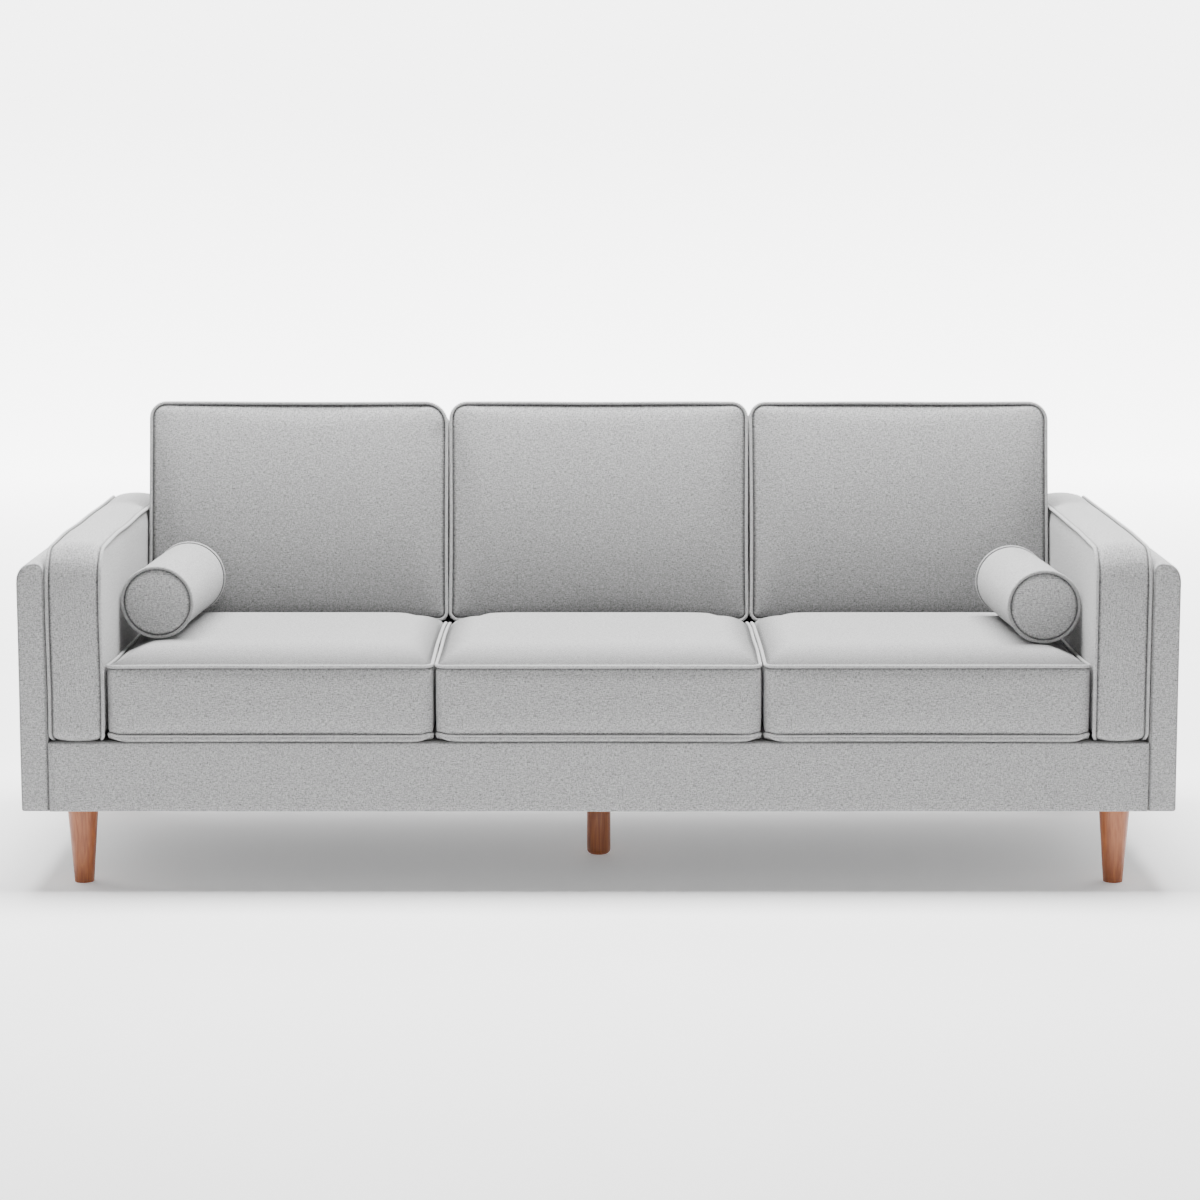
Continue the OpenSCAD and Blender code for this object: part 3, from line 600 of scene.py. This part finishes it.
FABRIC_TONE = 0.32
UPHOLSTERY = woven("upholstery", FABRIC_TONE)
# the piping is the same cloth made 12% lighter: a painted highlight where the cords catch the light
PIPING = woven("upholstery_piping", FABRIC_TONE * 1.12, turn=math.radians(45), contrast=0.35)
DECK_CLOTH = woven("deck_cloth", 0.40, pitch=0.7 * MM, contrast=0.25, sheen=0.1)
FINISHES = {
    "pine": wood("pine", (0.62, 0.43, 0.24, 1), (0.44, 0.27, 0.13, 1), axis=0, rough=0.62),
    "plywood": layered("plywood", (0.60, 0.44, 0.26, 1), (0.36, 0.23, 0.12, 1)),
    "hardboard": fibrous("hardboard", (0.30, 0.18, 0.10, 1), (0.17, 0.09, 0.045, 1)),
    "zinc_steel": plated("zinc_steel"),
    "stained_wood": wood("stained_wood", (0.345, 0.102, 0.025, 1), (0.20, 0.049, 0.011, 1),
                         axis=2, rough=0.40, coat=0.15),
    "webbing": strapping("webbing"),
    "dust_cloth": fibrous("dust_cloth", (0.035, 0.035, 0.037, 1), (0.008, 0.008, 0.009, 1), scale=900.0,
                          rough=0.9, depth=0.2 * MM),
    "foam": foam("foam"),
    "deck_cloth": DECK_CLOTH,
    "upholstery": UPHOLSTERY,
}
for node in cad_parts.values():
    for slot in node.material_slots:
        key = slot.material.name.split(".")[0] if slot.material else ""
        if key in FINISHES:
            slot.material = FINISHES[key]


def dress(obj, body, material=None):
    """Gives a piece its finish and the body it rides on."""
    obj.data.materials.clear()
    obj.data.materials.append(material or UPHOLSTERY)
    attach(obj, body)
    return obj


# ---------- the soft pieces ----------

def paint_shading(obj, rule):
    """Paints shade into the cloth by the share that the rule gives for each point; a negative share paints
    light instead.
    """
    count = len(obj.data.vertices)
    co = np.zeros(count * 3, np.float32)
    obj.data.vertices.foreach_get("co", co)
    layer = obj.data.attributes.new("painted_shading", "FLOAT", "POINT")
    layer.data.foreach_set("value", np.asarray(rule(co.reshape(-1, 3).astype(float)), np.float32))


def middle(box):
    return (box[0] + box[1]) / 2


FORMS, PINS, LATER = [], [], []


def queue(form, held=slice(0)):
    """Queues a form for the simulation, pinned at its seams and over the held points."""
    pin = np.zeros(len(form.start))
    pin[held] = 1.0
    for loop in form.loops:
        pin[loop] = 1.0
    FORMS.append(form)
    PINS.append(pin)


def seat(side, seed):
    low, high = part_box("seat_core_" + side)
    inner = 2.3 * MM                       # the core is this much smaller than the cover
    w = high.x - low.x + 2 * inner
    d = high.y - low.y + 2 * inner
    z0, z1 = low.z - inner, high.z + inner
    puff, foot = 17.5 * MM, 12 * MM
    cx, cy = (low.x + high.x) / 2, (low.y + high.y) / 2
    plane_hi, foot_seam = z1 - puff, z0 + foot
    outline = Outline(w, d, [20 * MM] * 4)
    waves = Waves(seed, (0.18, 0.5))
    corner = np.array([w / 2, d / 2])
    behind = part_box("back_cushion_cover_" + side)[0].y - cy       # where the back cushion stands on it

    def warp(p):
        p = p.copy()
        x, y = p[:, 0] / (w / 2), p[:, 1] / (d / 2)
        near = np.linalg.norm(corner - np.abs(p[:, :2]), axis=1)
        level = np.clip((foot_seam + 40 * MM - p[:, 2]) / (40 * MM), 0, 1)
        under = np.clip((foot_seam - p[:, 2]) / foot, 0, 1)
        p[:, 2] += (5 * MM * level + 10 * MM * under) * np.exp(-(near / (14 * MM)) ** 2)
        back_part = np.clip((p[:, 1] - behind + 12 * MM) / (30 * MM), 0, 1)
        high = np.clip((p[:, 2] - foot_seam) / (plane_hi - foot_seam), 0, 1)
        p[:, 2] -= 10 * MM * high * high * back_part
        # the side seams ride up in the middle and drop at the rear corners
        depth = np.clip((p[:, 1] + d / 2) / (behind + d / 2), 0, 1)
        side_edge = np.clip((np.abs(p[:, 0]) - w / 2 + 60 * MM) / (60 * MM), 0, 1) ** 2
        ride_up = 6 * depth * (1 - depth) * 4 - 7 * depth ** 8
        beside_pad = np.sign(p[:, 0]) == {"left": -1, "center": 0, "right": 1}[side]
        ride_up = np.where(beside_pad, -9 * (1 - (1 - depth) ** 5), ride_up)
        p[:, 2] += ride_up * MM * high * high * side_edge
        p[:, 0] -= np.sign(x) * 0.5 * MM * np.abs(x) * (1 - np.clip(np.abs(y), 0, 1) ** 2)
        p[:, 1] += np.where(y < 0, 1, -1) * 1.5 * MM * np.abs(y) * (1 - np.clip(np.abs(x), 0, 1) ** 2)
        p += waves(p, 0.5 * MM)
        p[:, 2] = np.maximum(p[:, 2], z0 + 0.2 * MM)
        return p

    move = np.array([cx, cy, 0.0])
    form = Boxed("seat_cushion_" + side, outline, z0 + 0.3 * MM, plane_hi, 0.0, 0.85 * puff, 1.2 * MM,
                 lambda p: p + move, lambda p: p - move, warp, foot_seam=foot_seam, boxy=24 * MM)

    def fit(p):
        p = p.copy()
        pressed = np.clip((p[:, 1] - behind + 12 * MM) / (30 * MM), 0, 1)
        forward = np.clip(1 - (p[:, 1] + d / 2) / (190 * MM), 0, 1)
        top = z1 - PRESSED * pressed * pressed * (3 - 2 * pressed) - 16 * MM * forward * forward
        p[:, 2] = np.maximum(soft(p[:, 2], top, 5 * MM), z0 + 0.2 * MM)
        limit = np.array([w / 2 + 1.2 * MM, d / 2 + 4 * MM])
        p[:, :2] = np.sign(p[:, :2]) * soft(np.abs(p[:, :2]), limit, 1.5 * MM)
        return p

    queue(form, slice(form.panel, 2 * form.panel))

    def crown_shade(co):
        """Painted shade: the top is darker beside its seam, most of all along the front, where its crown
        rolls down towards the seam.
        """
        ahead = (co[:, 1] - cy + d / 2) / (190 * MM)
        beside = (w / 2 - np.abs(co[:, 0] - cx)) / (60 * MM)
        on_top = np.clip((co[:, 2] - plane_hi + 1 * MM) / (3 * MM), 0, 1)
        return 0.75 * on_top * (1 - np.clip(np.minimum(ahead, beside), 0, 1)) ** 1.3

    def done():
        settle(form, 24 * MM, fit)
        paint_shading(form.obj, crown_shade)
        body = "seat_" + side
        dress(form.obj, body)
        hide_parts("seat_cover_" + side, "seat_core_" + side)
        for level, word, at in ((1, "top", None), (-1, "low", foot_seam)):
            dress(form.cord("seat_piping_%s_%s" % (word, side), level, at), body, PIPING)

    LATER.append(done)


# radii of a back cushion's upper right and upper left corners, in millimetres
BACK_CORNERS = {"left": (46, 32), "center": (32, 34), "right": (38, 31)}


def back(side, seed):
    low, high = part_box("back_cushion_core_" + side)
    clow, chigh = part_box("back_cushion_cover_" + side)
    inner = 2.3 * MM
    lean = math.radians(10.5)
    z0, z1 = low.z - inner - PRESSED, high.z + inner
    w = high.x - low.x + 2 * inner
    cx = (low.x + high.x) / 2
    # the front plane at the bottom of the cushion: the CAD puffs 12 mm out of it, 40 mm further up
    y0 = clow.y + 12 * MM - (40 * MM + PRESSED) * math.tan(lean)
    thick = 150 * MM * math.cos(lean)
    bottom = z0 + 2.5 * MM
    h = (z1 - bottom) / math.cos(lean)
    outline = Outline(w, h, [16 * MM, 16 * MM, *(r * MM for r in BACK_CORNERS[side])])
    waves = Waves(seed, (0.2, 0.5))
    up = np.array([0, math.sin(lean), math.cos(lean)])
    into = np.array([0, math.cos(lean), -math.sin(lean)])
    k = math.tan(lean)
    base = np.array([cx, y0, z0])
    lift = 2.5 * MM / math.cos(lean)

    def place(p):
        v = p[:, 1] + h / 2
        v = v + k * p[:, 2] * (1 - v / h) + lift
        return base + p[:, :1] * np.array([[1.0, 0, 0]]) + v[:, None] * up + p[:, 2:] * into

    def unplace(q):
        r = q - base
        wv = r @ into
        v = (r @ up) - lift
        v = (v - k * wv) / (1 - k * wv / h)
        return np.column_stack([r[:, 0], v - h / 2, wv])

    def warp(p):
        p = p.copy()
        x, y = p[:, 0] / (w / 2), p[:, 1] / (h / 2)
        p[:, 0] -= np.sign(x) * 0.8 * MM * np.abs(x) * (1 - np.clip(np.abs(y), 0, 1) ** 2)
        p += waves(p, 0.5 * MM)
        return p

    # w runs from the front plane (low) to the rear plane (high)
    form = Boxed("back_cushion_" + side, outline, 2.5 * MM, thick, 15 * MM, 0.0, 2.5 * MM,
                 place, unplace, warp, boxy=60 * MM)

    def fit(p):
        p = p.copy()
        x = np.minimum(np.abs(p[:, 0]) / (w / 2), 1)
        rise = p[:, 1] / (h / 2) + 0.2
        swell = (1 - np.minimum(np.abs(rise) / np.where(rise > 0, 1.2, 0.8), 1) ** 2.2) * np.sqrt(1 - x ** 5)
        p[:, 2] = -soft(-p[:, 2], 3 * MM + 17 * MM * swell, 3 * MM)
        p[:, 2] = np.minimum(p[:, 2], thick - 0.3 * MM)
        p[:, 0] = np.sign(p[:, 0]) * soft(np.abs(p[:, 0]), w / 2 + 2.6 * MM, 1.5 * MM)
        p[:, 1] = np.maximum(p[:, 1], -h / 2 - 2.0 * MM)
        p[:, 1] = soft(p[:, 1], h / 2 + 2.5 * MM, 1.5 * MM)
        return p

    queue(form, slice(form.panel))

    def done():
        settle(form, 24 * MM, fit)
        # painted shade: the cloth is darker towards the foot, where the cushion meets the seat
        paint_shading(form.obj, lambda co: 0.40 * (1 - np.clip((co[:, 2] - z0) / (z1 - z0), 0, 1)) ** 2)
        body = "back_cushion_" + side
        dress(form.obj, body)
        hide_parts("back_cushion_cover_" + side, "back_cushion_core_" + side)
        for level, word in ((-1, "front"), (1, "rear")):
            dress(form.cord("back_piping_%s_%s" % (word, side), level), body, PIPING)

    LATER.append(done)


def pad(side, seed):
    sign = -1 if side == "left" else 1
    low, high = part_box("pad_cover_" + side)
    x0, x1 = (low.x, high.x) if sign > 0 else (-high.x, -low.x)
    x0, x1 = x0 + 2.5 * MM, x1 - 2.5 * MM
    y0, y1 = low.y + 2.5 * MM, high.y - 2.5 * MM
    z0, z1 = low.z + 2.5 * MM, high.z - 8.5 * MM
    w, h = y1 - y0, z1 - z0
    outline = Outline(w, h, [20 * MM, 20 * MM, 20 * MM, 55 * MM])
    waves = Waves(seed, (0.15, 0.45))
    cy, cz = (y0 + y1) / 2, (z0 + z1) / 2

    def place(p):
        return np.column_stack([sign * p[:, 2], p[:, 0] + cy, p[:, 1] + cz])

    def unplace(q):
        return np.column_stack([q[:, 1] - cy, q[:, 2] - cz, sign * q[:, 0]])

    def warp(p):
        p = p.copy()
        y = p[:, 1] / (h / 2)
        p += waves(p, 0.45 * MM)
        slump = np.clip((-0.20 - p[:, 0]) / 0.24, 0, 1) * np.clip(y, 0, 1)
        p[:, 1] -= 5 * MM * slump
        across = (p[:, 2] - x0) / (x1 - x0)
        tuck = np.clip((-h / 2 + 14 * MM - p[:, 1]) / (14 * MM), 0, 1) ** 2
        p[:, 2] += (0.5 - across) * 13 * MM * tuck
        p[:, 1] += 3.5 * MM * np.clip((y - 0.96) / 0.04, 0, 1) * np.clip(4 * across * (1 - across), 0, 1)
        p[:, 1] = np.maximum(p[:, 1], -h / 2 - 2.2 * MM)
        return p

    form = Boxed("arm_pad_" + side, outline, x0, x1, 1.0 * MM, 1.0 * MM, 6 * MM,
                 place, unplace, warp, boxy=60 * MM, strip_step=11 * MM)

    def fit(p):
        p = p.copy()
        p[:, 2] = np.clip(p[:, 2], x0 - 1.8 * MM, x1 + 3.2 * MM)
        p[:, 1] = np.maximum(p[:, 1], -h / 2 - 2.3 * MM)
        p[:, 1] = soft(p[:, 1], h / 2 + 11.5 * MM, 4 * MM)
        p[:, 0] = np.sign(p[:, 0]) * soft(np.abs(p[:, 0]), w / 2 + 5 * MM, 2 * MM)
        return p

    queue(form, slice(form.panel))

    def done():
        settle(form, 12 * MM, fit)
        dress(form.obj, "frame")
        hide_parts("pad_cover_" + side, "pad_foam_" + side)
        for level, word in ((1, "outer"), (-1, "inner")):
            dress(form.cord("arm_pad_piping_%s_%s" % (word, side), level), "frame", PIPING)

    LATER.append(done)


def bolster(side, seed):
    low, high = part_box("bolster_core_" + side)
    turn = math.radians(3 if side == "right" else -3)
    centre = np.array(middle((low, high)))
    radius = (high.z - low.z) / 2 + 2.3 * MM
    length = 370 * MM
    rot = np.array([[math.cos(turn), -math.sin(turn), 0], [math.sin(turn), math.cos(turn), 0], [0, 0, 1]])
    outline = Outline(2 * radius, 2 * radius, [radius * 0.999] * 4, fine=9 * MM, coarse=9 * MM)
    waves = Waves(seed, (0.12, 0.3))

    def place(p):
        # u goes to -X so that the frame stays right-handed with w along +Y
        q = np.column_stack([-p[:, 0], p[:, 2], p[:, 1]])
        return q @ rot.T + centre

    def unplace(q):
        p = (q - centre) @ rot
        return np.column_stack([-p[:, 0], p[:, 2], p[:, 1]])

    def warp(p):
        p = p.copy()
        p += waves(p, 0.7 * MM)
        p[:, 1] = np.maximum(p[:, 1], -radius + 0.5 * MM)
        return p

    form = Boxed("bolster_" + side, outline, -length / 2 + 2.5 * MM, length / 2 - 2.5 * MM, 4 * MM, 4 * MM,
                 0.5 * MM, place, unplace, warp, boxy=30 * MM, strip_step=14 * MM)

    def fit(p):
        p = p.copy()
        r = np.linalg.norm(p[:, :2], axis=1)
        held = soft(r, radius + 2.2 * MM, 1.5 * MM)
        p[:, :2] *= (held / np.maximum(r, 1e-9))[:, None]
        p[:, 1] = np.maximum(p[:, 1], -radius - 1.5 * MM)
        p[:, 2] = np.sign(p[:, 2]) * soft(np.abs(p[:, 2]), length / 2 + 6 * MM, 3 * MM)
        return p

    queue(form)

    def done():
        settle(form, 8 * MM, fit)
        # painted light: both end discs are made lighter than the rest of the cover
        paint_shading(form.obj, lambda co: -0.38 * (np.abs(unplace(co)[:, 2]) > length / 2 - 4 * MM))
        body = "bolster_" + side
        dress(form.obj, body)
        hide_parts("bolster_cover_" + side, "bolster_core_" + side)
        for level, word in ((-1, "front"), (1, "rear")):
            dress(form.cord("bolster_piping_%s_%s" % (word, side), level), body, PIPING)

    LATER.append(done)


def panel(side, seed):
    """The thin outer part of an arm: a padded sleeve with a plain seam round its front and rear faces."""
    sign = -1 if side == "left" else 1
    low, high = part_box("arm_cover_" + side)
    x0, x1 = (low.x, high.x) if sign > 0 else (-high.x, -low.x)
    w, h = x1 - x0, high.z - low.z
    outline = Outline(w, h, [1.5 * MM, 4 * MM, 34 * MM, 17 * MM], fine=3 * MM, coarse=14 * MM)
    waves = Waves(seed, (0.2, 0.5))
    cx, cz = (x0 + x1) / 2, (low.z + high.z) / 2

    def place(p):
        return np.column_stack([sign * (cx + p[:, 0]), p[:, 2], cz + p[:, 1]])

    def warp(p):
        p = p.copy()
        p += waves(p, 0.35 * MM)
        p[:, 0] = np.maximum(p[:, 0], -w / 2 + 0.1 * MM)
        return p

    form = Boxed("arm_panel_" + side, outline, low.y, high.y, 1.2 * MM, 1.2 * MM, 0.0,
                 place, None, warp, seam_in=2.6 * MM, seam_drop=1.1 * MM, edge=4 * MM, boxy=16 * MM,
                 strip_step=18 * MM, faint=2.2 * MM)

    def done():
        subdivide(form.obj)
        dress(form.obj, "frame")
        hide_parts("arm_cover_" + side)

    LATER.append(done)


def sweep(name, profile, x0, x1, step, seed):
    """A closed profile in (Y, Z) carried along X, its two ends closed."""
    n = max(2, round((x1 - x0) / step))
    xs = np.linspace(x0, x1, n + 1)
    profile = np.asarray(profile, float)
    k = len(profile)
    length = lengths(profile)
    verts = np.concatenate([np.column_stack([np.full(k, x), profile]) for x in xs])
    verts += Waves(seed, (0.15, 0.5))(verts, 0.3 * MM) * np.array([0, 1, 1])
    faces, uvs = [], []
    for i in range(n):
        for j in range(k):
            j2 = (j + 1) % k
            faces.append((i * k + j, (i + 1) * k + j, (i + 1) * k + j2, i * k + j2))
            uvs += [(xs[i], length[j]), (xs[i + 1], length[j])]
            uvs += [(xs[i + 1], length[j + 1]), (xs[i], length[j + 1])]
    if not outward(verts, faces):
        faces, uvs = flipped(faces, uvs)
    ends = [tuple(range(k)), tuple(range(n * k + k - 1, n * k - 1, -1))]
    for face in ends:
        faces.append(face)
        uvs = list(uvs) + [tuple(profile[i % k]) for i in face]
    return make_object(name, verts, faces, uvs)


def bend(corner, start, end, radius, steps=5):
    """Points round a corner of a profile, from the side towards start to the side towards end."""
    c, a, b = (np.asarray(p, float) for p in (corner, start, end))
    a = (a - c) / np.linalg.norm(a - c)
    b = (b - c) / np.linalg.norm(b - c)
    p, q = c + a * radius, c + b * radius
    t = np.linspace(0, 1, steps + 1)[:, None]
    return (1 - t) ** 2 * p + 2 * t * (1 - t) * (c + (a + b) * radius * 0.12) + t ** 2 * q


def spaced(a, b, step):
    a, b = np.asarray(a, float), np.asarray(b, float)
    n = max(1, round(np.linalg.norm(b - a) / step))
    return [a + (b - a) * i / n for i in range(1, n)]


def base_wrap(name, nodes, front, seed):
    """The cloth on the front or rear of the base, turned under the rail."""
    low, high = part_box(nodes[0])
    thick = 10 * MM if front else 2 * MM
    face = low.y - 1.2 * MM if front else high.y
    into = 1 if front else -1
    lip = high.y if front else low.y
    under = 2 * MM
    z0, z1 = low.z, high.z
    r = 3.5 * MM if front else 1.5 * MM
    top_in, top_out = (face + into * thick, z1), (face, z1)
    foot, end = (face, z0), (lip, z0)
    profile = [np.array(top_in)]
    profile += list(bend(top_out, top_in, foot, r))
    profile += spaced((face, z1 - r), (face, z0 + r), 12 * MM)
    profile += list(bend(foot, top_out, end, r))
    profile += spaced((face + into * r, z0), end, 12 * MM)
    profile += [np.array(end), np.array((lip, z0 + under)), np.array((face + into * thick, z0 + under))]
    obj = sweep(name, profile, low.x - 0.7 * MM, high.x + 0.7 * MM, 22 * MM, seed)
    dress(obj, "frame")
    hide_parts(*nodes)
    return obj


def back_wrap(seed):
    """The upholstery round the back frame."""
    low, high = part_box("back_cover")
    nominal = 0.11
    h = high.z - low.z
    outline = Outline(nominal, h, [3 * MM, 3 * MM, 12 * MM, 12 * MM], fine=4 * MM, coarse=16 * MM)
    waves = Waves(seed, (0.25, 0.6))
    cz = (low.z + high.z) / 2
    lean = math.tan(math.radians(10.5))
    deep = high.y - low.y

    def place(p):
        z = p[:, 1] + cz
        depth = deep - (z - low.z) * lean
        return np.column_stack([p[:, 2], high.y - (0.5 - p[:, 0] / nominal) * depth, z])

    def warp(p):
        return p + waves(p, 0.5 * MM)

    form = Boxed("back_upholstery", outline, low.x, high.x, 0.8 * MM, 0.8 * MM, 0.0, place, None, warp,
                 seam_in=4 * MM, seam_drop=1.2 * MM, edge=6 * MM, boxy=20 * MM, strip_step=26 * MM)
    subdivide(form.obj)
    dress(form.obj, "frame")
    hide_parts("back_cover", "back_foam")


def sheet_grid(name, low, high, material, holes=(), sag=0.0):
    """A flat sheet cut to the box, with square holes. Gives the sheet and the area of its cloth."""
    step = 25 * MM
    nx = max(2, round((high.x - low.x) / step))
    ny = max(2, round((high.y - low.y) / step))
    xs = np.linspace(low.x, high.x, nx + 1).tolist()
    ys = np.linspace(low.y, high.y, ny + 1).tolist()
    for (cx, cy, half) in holes:
        xs += [cx - half, cx + half]
        ys += [cy - half, cy + half]
    xs = np.array(sorted(x for x in set(round(x, 5) for x in xs) if low.x - 1e-6 <= x <= high.x + 1e-6))
    ys = np.array(sorted(y for y in set(round(y, 5) for y in ys) if low.y - 1e-6 <= y <= high.y + 1e-6))
    gx, gy = np.meshgrid(xs, ys)
    u = (gx - low.x) / (high.x - low.x)
    v = (gy - low.y) / (high.y - low.y)
    dip = sag * (4 * u * (1 - u)) ** 0.5 * 4 * v * (1 - v) * (0.75 + 0.25 * np.cos(gx * 14))
    top = np.stack([gx, gy, high.z - dip], -1).reshape(-1, 3)
    bottom = np.stack([gx, gy, low.z - dip], -1).reshape(-1, 3)
    cols, count = len(xs), len(top)
    kept = []
    for j in range(len(ys) - 1):
        for i in range(cols - 1):
            mx, my = (xs[i] + xs[i + 1]) / 2, (ys[j] + ys[j + 1]) / 2
            if all(max(abs(mx - cx), abs(my - cy)) > half for cx, cy, half in holes):
                a = j * cols + i
                kept.append((a, a + 1, a + cols + 1, a + cols))
    faces = list(kept) + [tuple(i + count for i in f[::-1]) for f in kept]
    edges = {}
    for f in kept:
        for a, b in zip(f, f[1:] + f[:1]):
            edges[(a, b)] = True
    for a, b in edges:
        if (b, a) not in edges:
            faces.append((b, a, a + count, b + count))
    verts = np.concatenate([top, bottom])
    used = sorted({i for f in faces for i in f})
    index = {old: new for new, old in enumerate(used)}
    faces = [tuple(index[i] for i in f) for f in faces]
    verts = verts[used]
    uvs = [tuple(verts[i][:2]) for f in faces for i in f]
    obj = make_object(name, verts, faces, uvs)
    area = sum(abs((xs[f[1] % cols] - xs[f[0] % cols]) * (ys[f[3] // cols] - ys[f[0] // cols])) for f in kept)
    dress(obj, "frame", material)
    return obj, area


for number, side in enumerate(SIDES):
    seat(side, 11 + number)
    back(side, 31 + number)
for number, side in enumerate(("left", "right")):
    pad(side, 51 + number)
    bolster(side, 61 + number)
    panel(side, 71 + number)
inflate(FORMS, PINS)
for job in LATER:
    job()

apron = base_wrap("apron", ["apron_cover", "apron_foam"], True, 81)
rear_wrap = base_wrap("base_rear_cloth", ["rear_base_cover"], False, 82)
back_wrap(83)

deck_low, deck_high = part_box("deck_cover")
deck = sheet_grid("seat_deck", deck_low, deck_high, DECK_CLOTH)[0]
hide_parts("deck_cover")

dust_low, dust_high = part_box("dust_cover")
cuts = []
for leg in ("front_left", "front_right", "rear_left", "rear_right", "center"):
    c = middle(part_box("leg_" + leg))
    cuts.append((c.x, c.y, 38 * MM))
dust, dust_area = sheet_grid("underside_cloth", dust_low, dust_high, FINISHES["dust_cloth"],
                             cuts, sag=2 * MM)
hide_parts("dust_cover")


# ---------- stage, light and camera ----------

KEY_POWER = 630.0
FILL_POWER = 25.0
WORLD_LIGHT = 0.05
FLOOR_GLOW = 0.2
WALL_TONE = 0.2
BACKDROP_GLOW = 5.0


def floor():
    """A pale round studio: the floor curves up into the wall, and glows so that shadows stay soft."""
    radius, wall, height, rows, sides = 2.5, 10.0, 10.0, 12, 64
    profile = [(wall - radius, 0.0)]
    profile += [(wall - radius + radius * math.sin(a), radius - radius * math.cos(a))
                for a in (math.pi / 2 * (i + 1) / rows for i in range(rows))]
    profile.append((wall, height))
    turns = [2 * math.pi * k / sides for k in range(sides)]
    verts = [(0.0, 0.0, 0.0)] + [(r * math.cos(a), r * math.sin(a), z) for r, z in profile for a in turns]
    faces = [(0, 1 + k, 1 + (k + 1) % sides) for k in range(sides)]
    for i in range(len(profile) - 1):
        a = 1 + i * sides
        for k in range(sides):
            b = a + (k + 1) % sides
            faces.append((a + k, a + sides + k, b + sides, b))
    mesh = bpy.data.meshes.new("floor")
    mesh.from_pydata(verts, [], faces)
    mesh.shade_smooth()
    obj = bpy.data.objects.new("floor", mesh)
    SCENE.collection.objects.link(obj)
    m = Shader("floor")
    at, x, y, z = m.object_axes()
    tone = m.times(m.span(m.noise(at, 2.0, 2.0), 0.3, 0.7, 0.90, 0.92),
                  m.span(z, 0.0, 1.5, 1.0, WALL_TONE))
    colour = m.node("ShaderNodeCombineColor", {0: tone, 1: tone, 2: tone}).outputs[0]
    glow = m.span(y, 1.0, 7.0, FLOOR_GLOW, BACKDROP_GLOW)
    mesh.materials.append(m.finish(colour, 0.8, Emission_Color=(1, 1, 1, 1), Emission_Strength=glow,
                                   Specular_IOR_Level=0.1))


def area_light(name, at, target, size, power):
    data = bpy.data.lights.new(name, "AREA")
    data.shape = "RECTANGLE"
    data.size, data.size_y = size
    data.energy = power
    obj = bpy.data.objects.new(name, data)
    obj.location = at
    obj.rotation_euler = (Vector(target) - Vector(at)).to_track_quat("-Z", "Y").to_euler()
    SCENE.collection.objects.link(obj)


floor()
area_light("overhead", (0.0, 0.15, 3.6), (0.0, 0.15, 0.0), (3.6, 1.6), KEY_POWER)
area_light("front", (0.0, -6.5, 2.2), (0.0, 0.0, 0.4), (5.0, 2.0), FILL_POWER)

world = bpy.data.worlds.new("studio")
world.use_nodes = True
world.node_tree.nodes["Background"].inputs[0].default_value = (1, 1, 1, 1)
world.node_tree.nodes["Background"].inputs[1].default_value = WORLD_LIGHT
SCENE.world = world

camera = bpy.data.cameras.new("camera")
camera.lens = 97.33
camera.sensor_width = 36.0
camera.dof.use_dof = False
eye = bpy.data.objects.new("camera", camera)
eye.location = (0.0026, -6.4057, 1.4138)
eye.rotation_euler = (math.radians(90 - 8.1855), 0, 0)
SCENE.collection.objects.link(eye)
SCENE.camera = eye
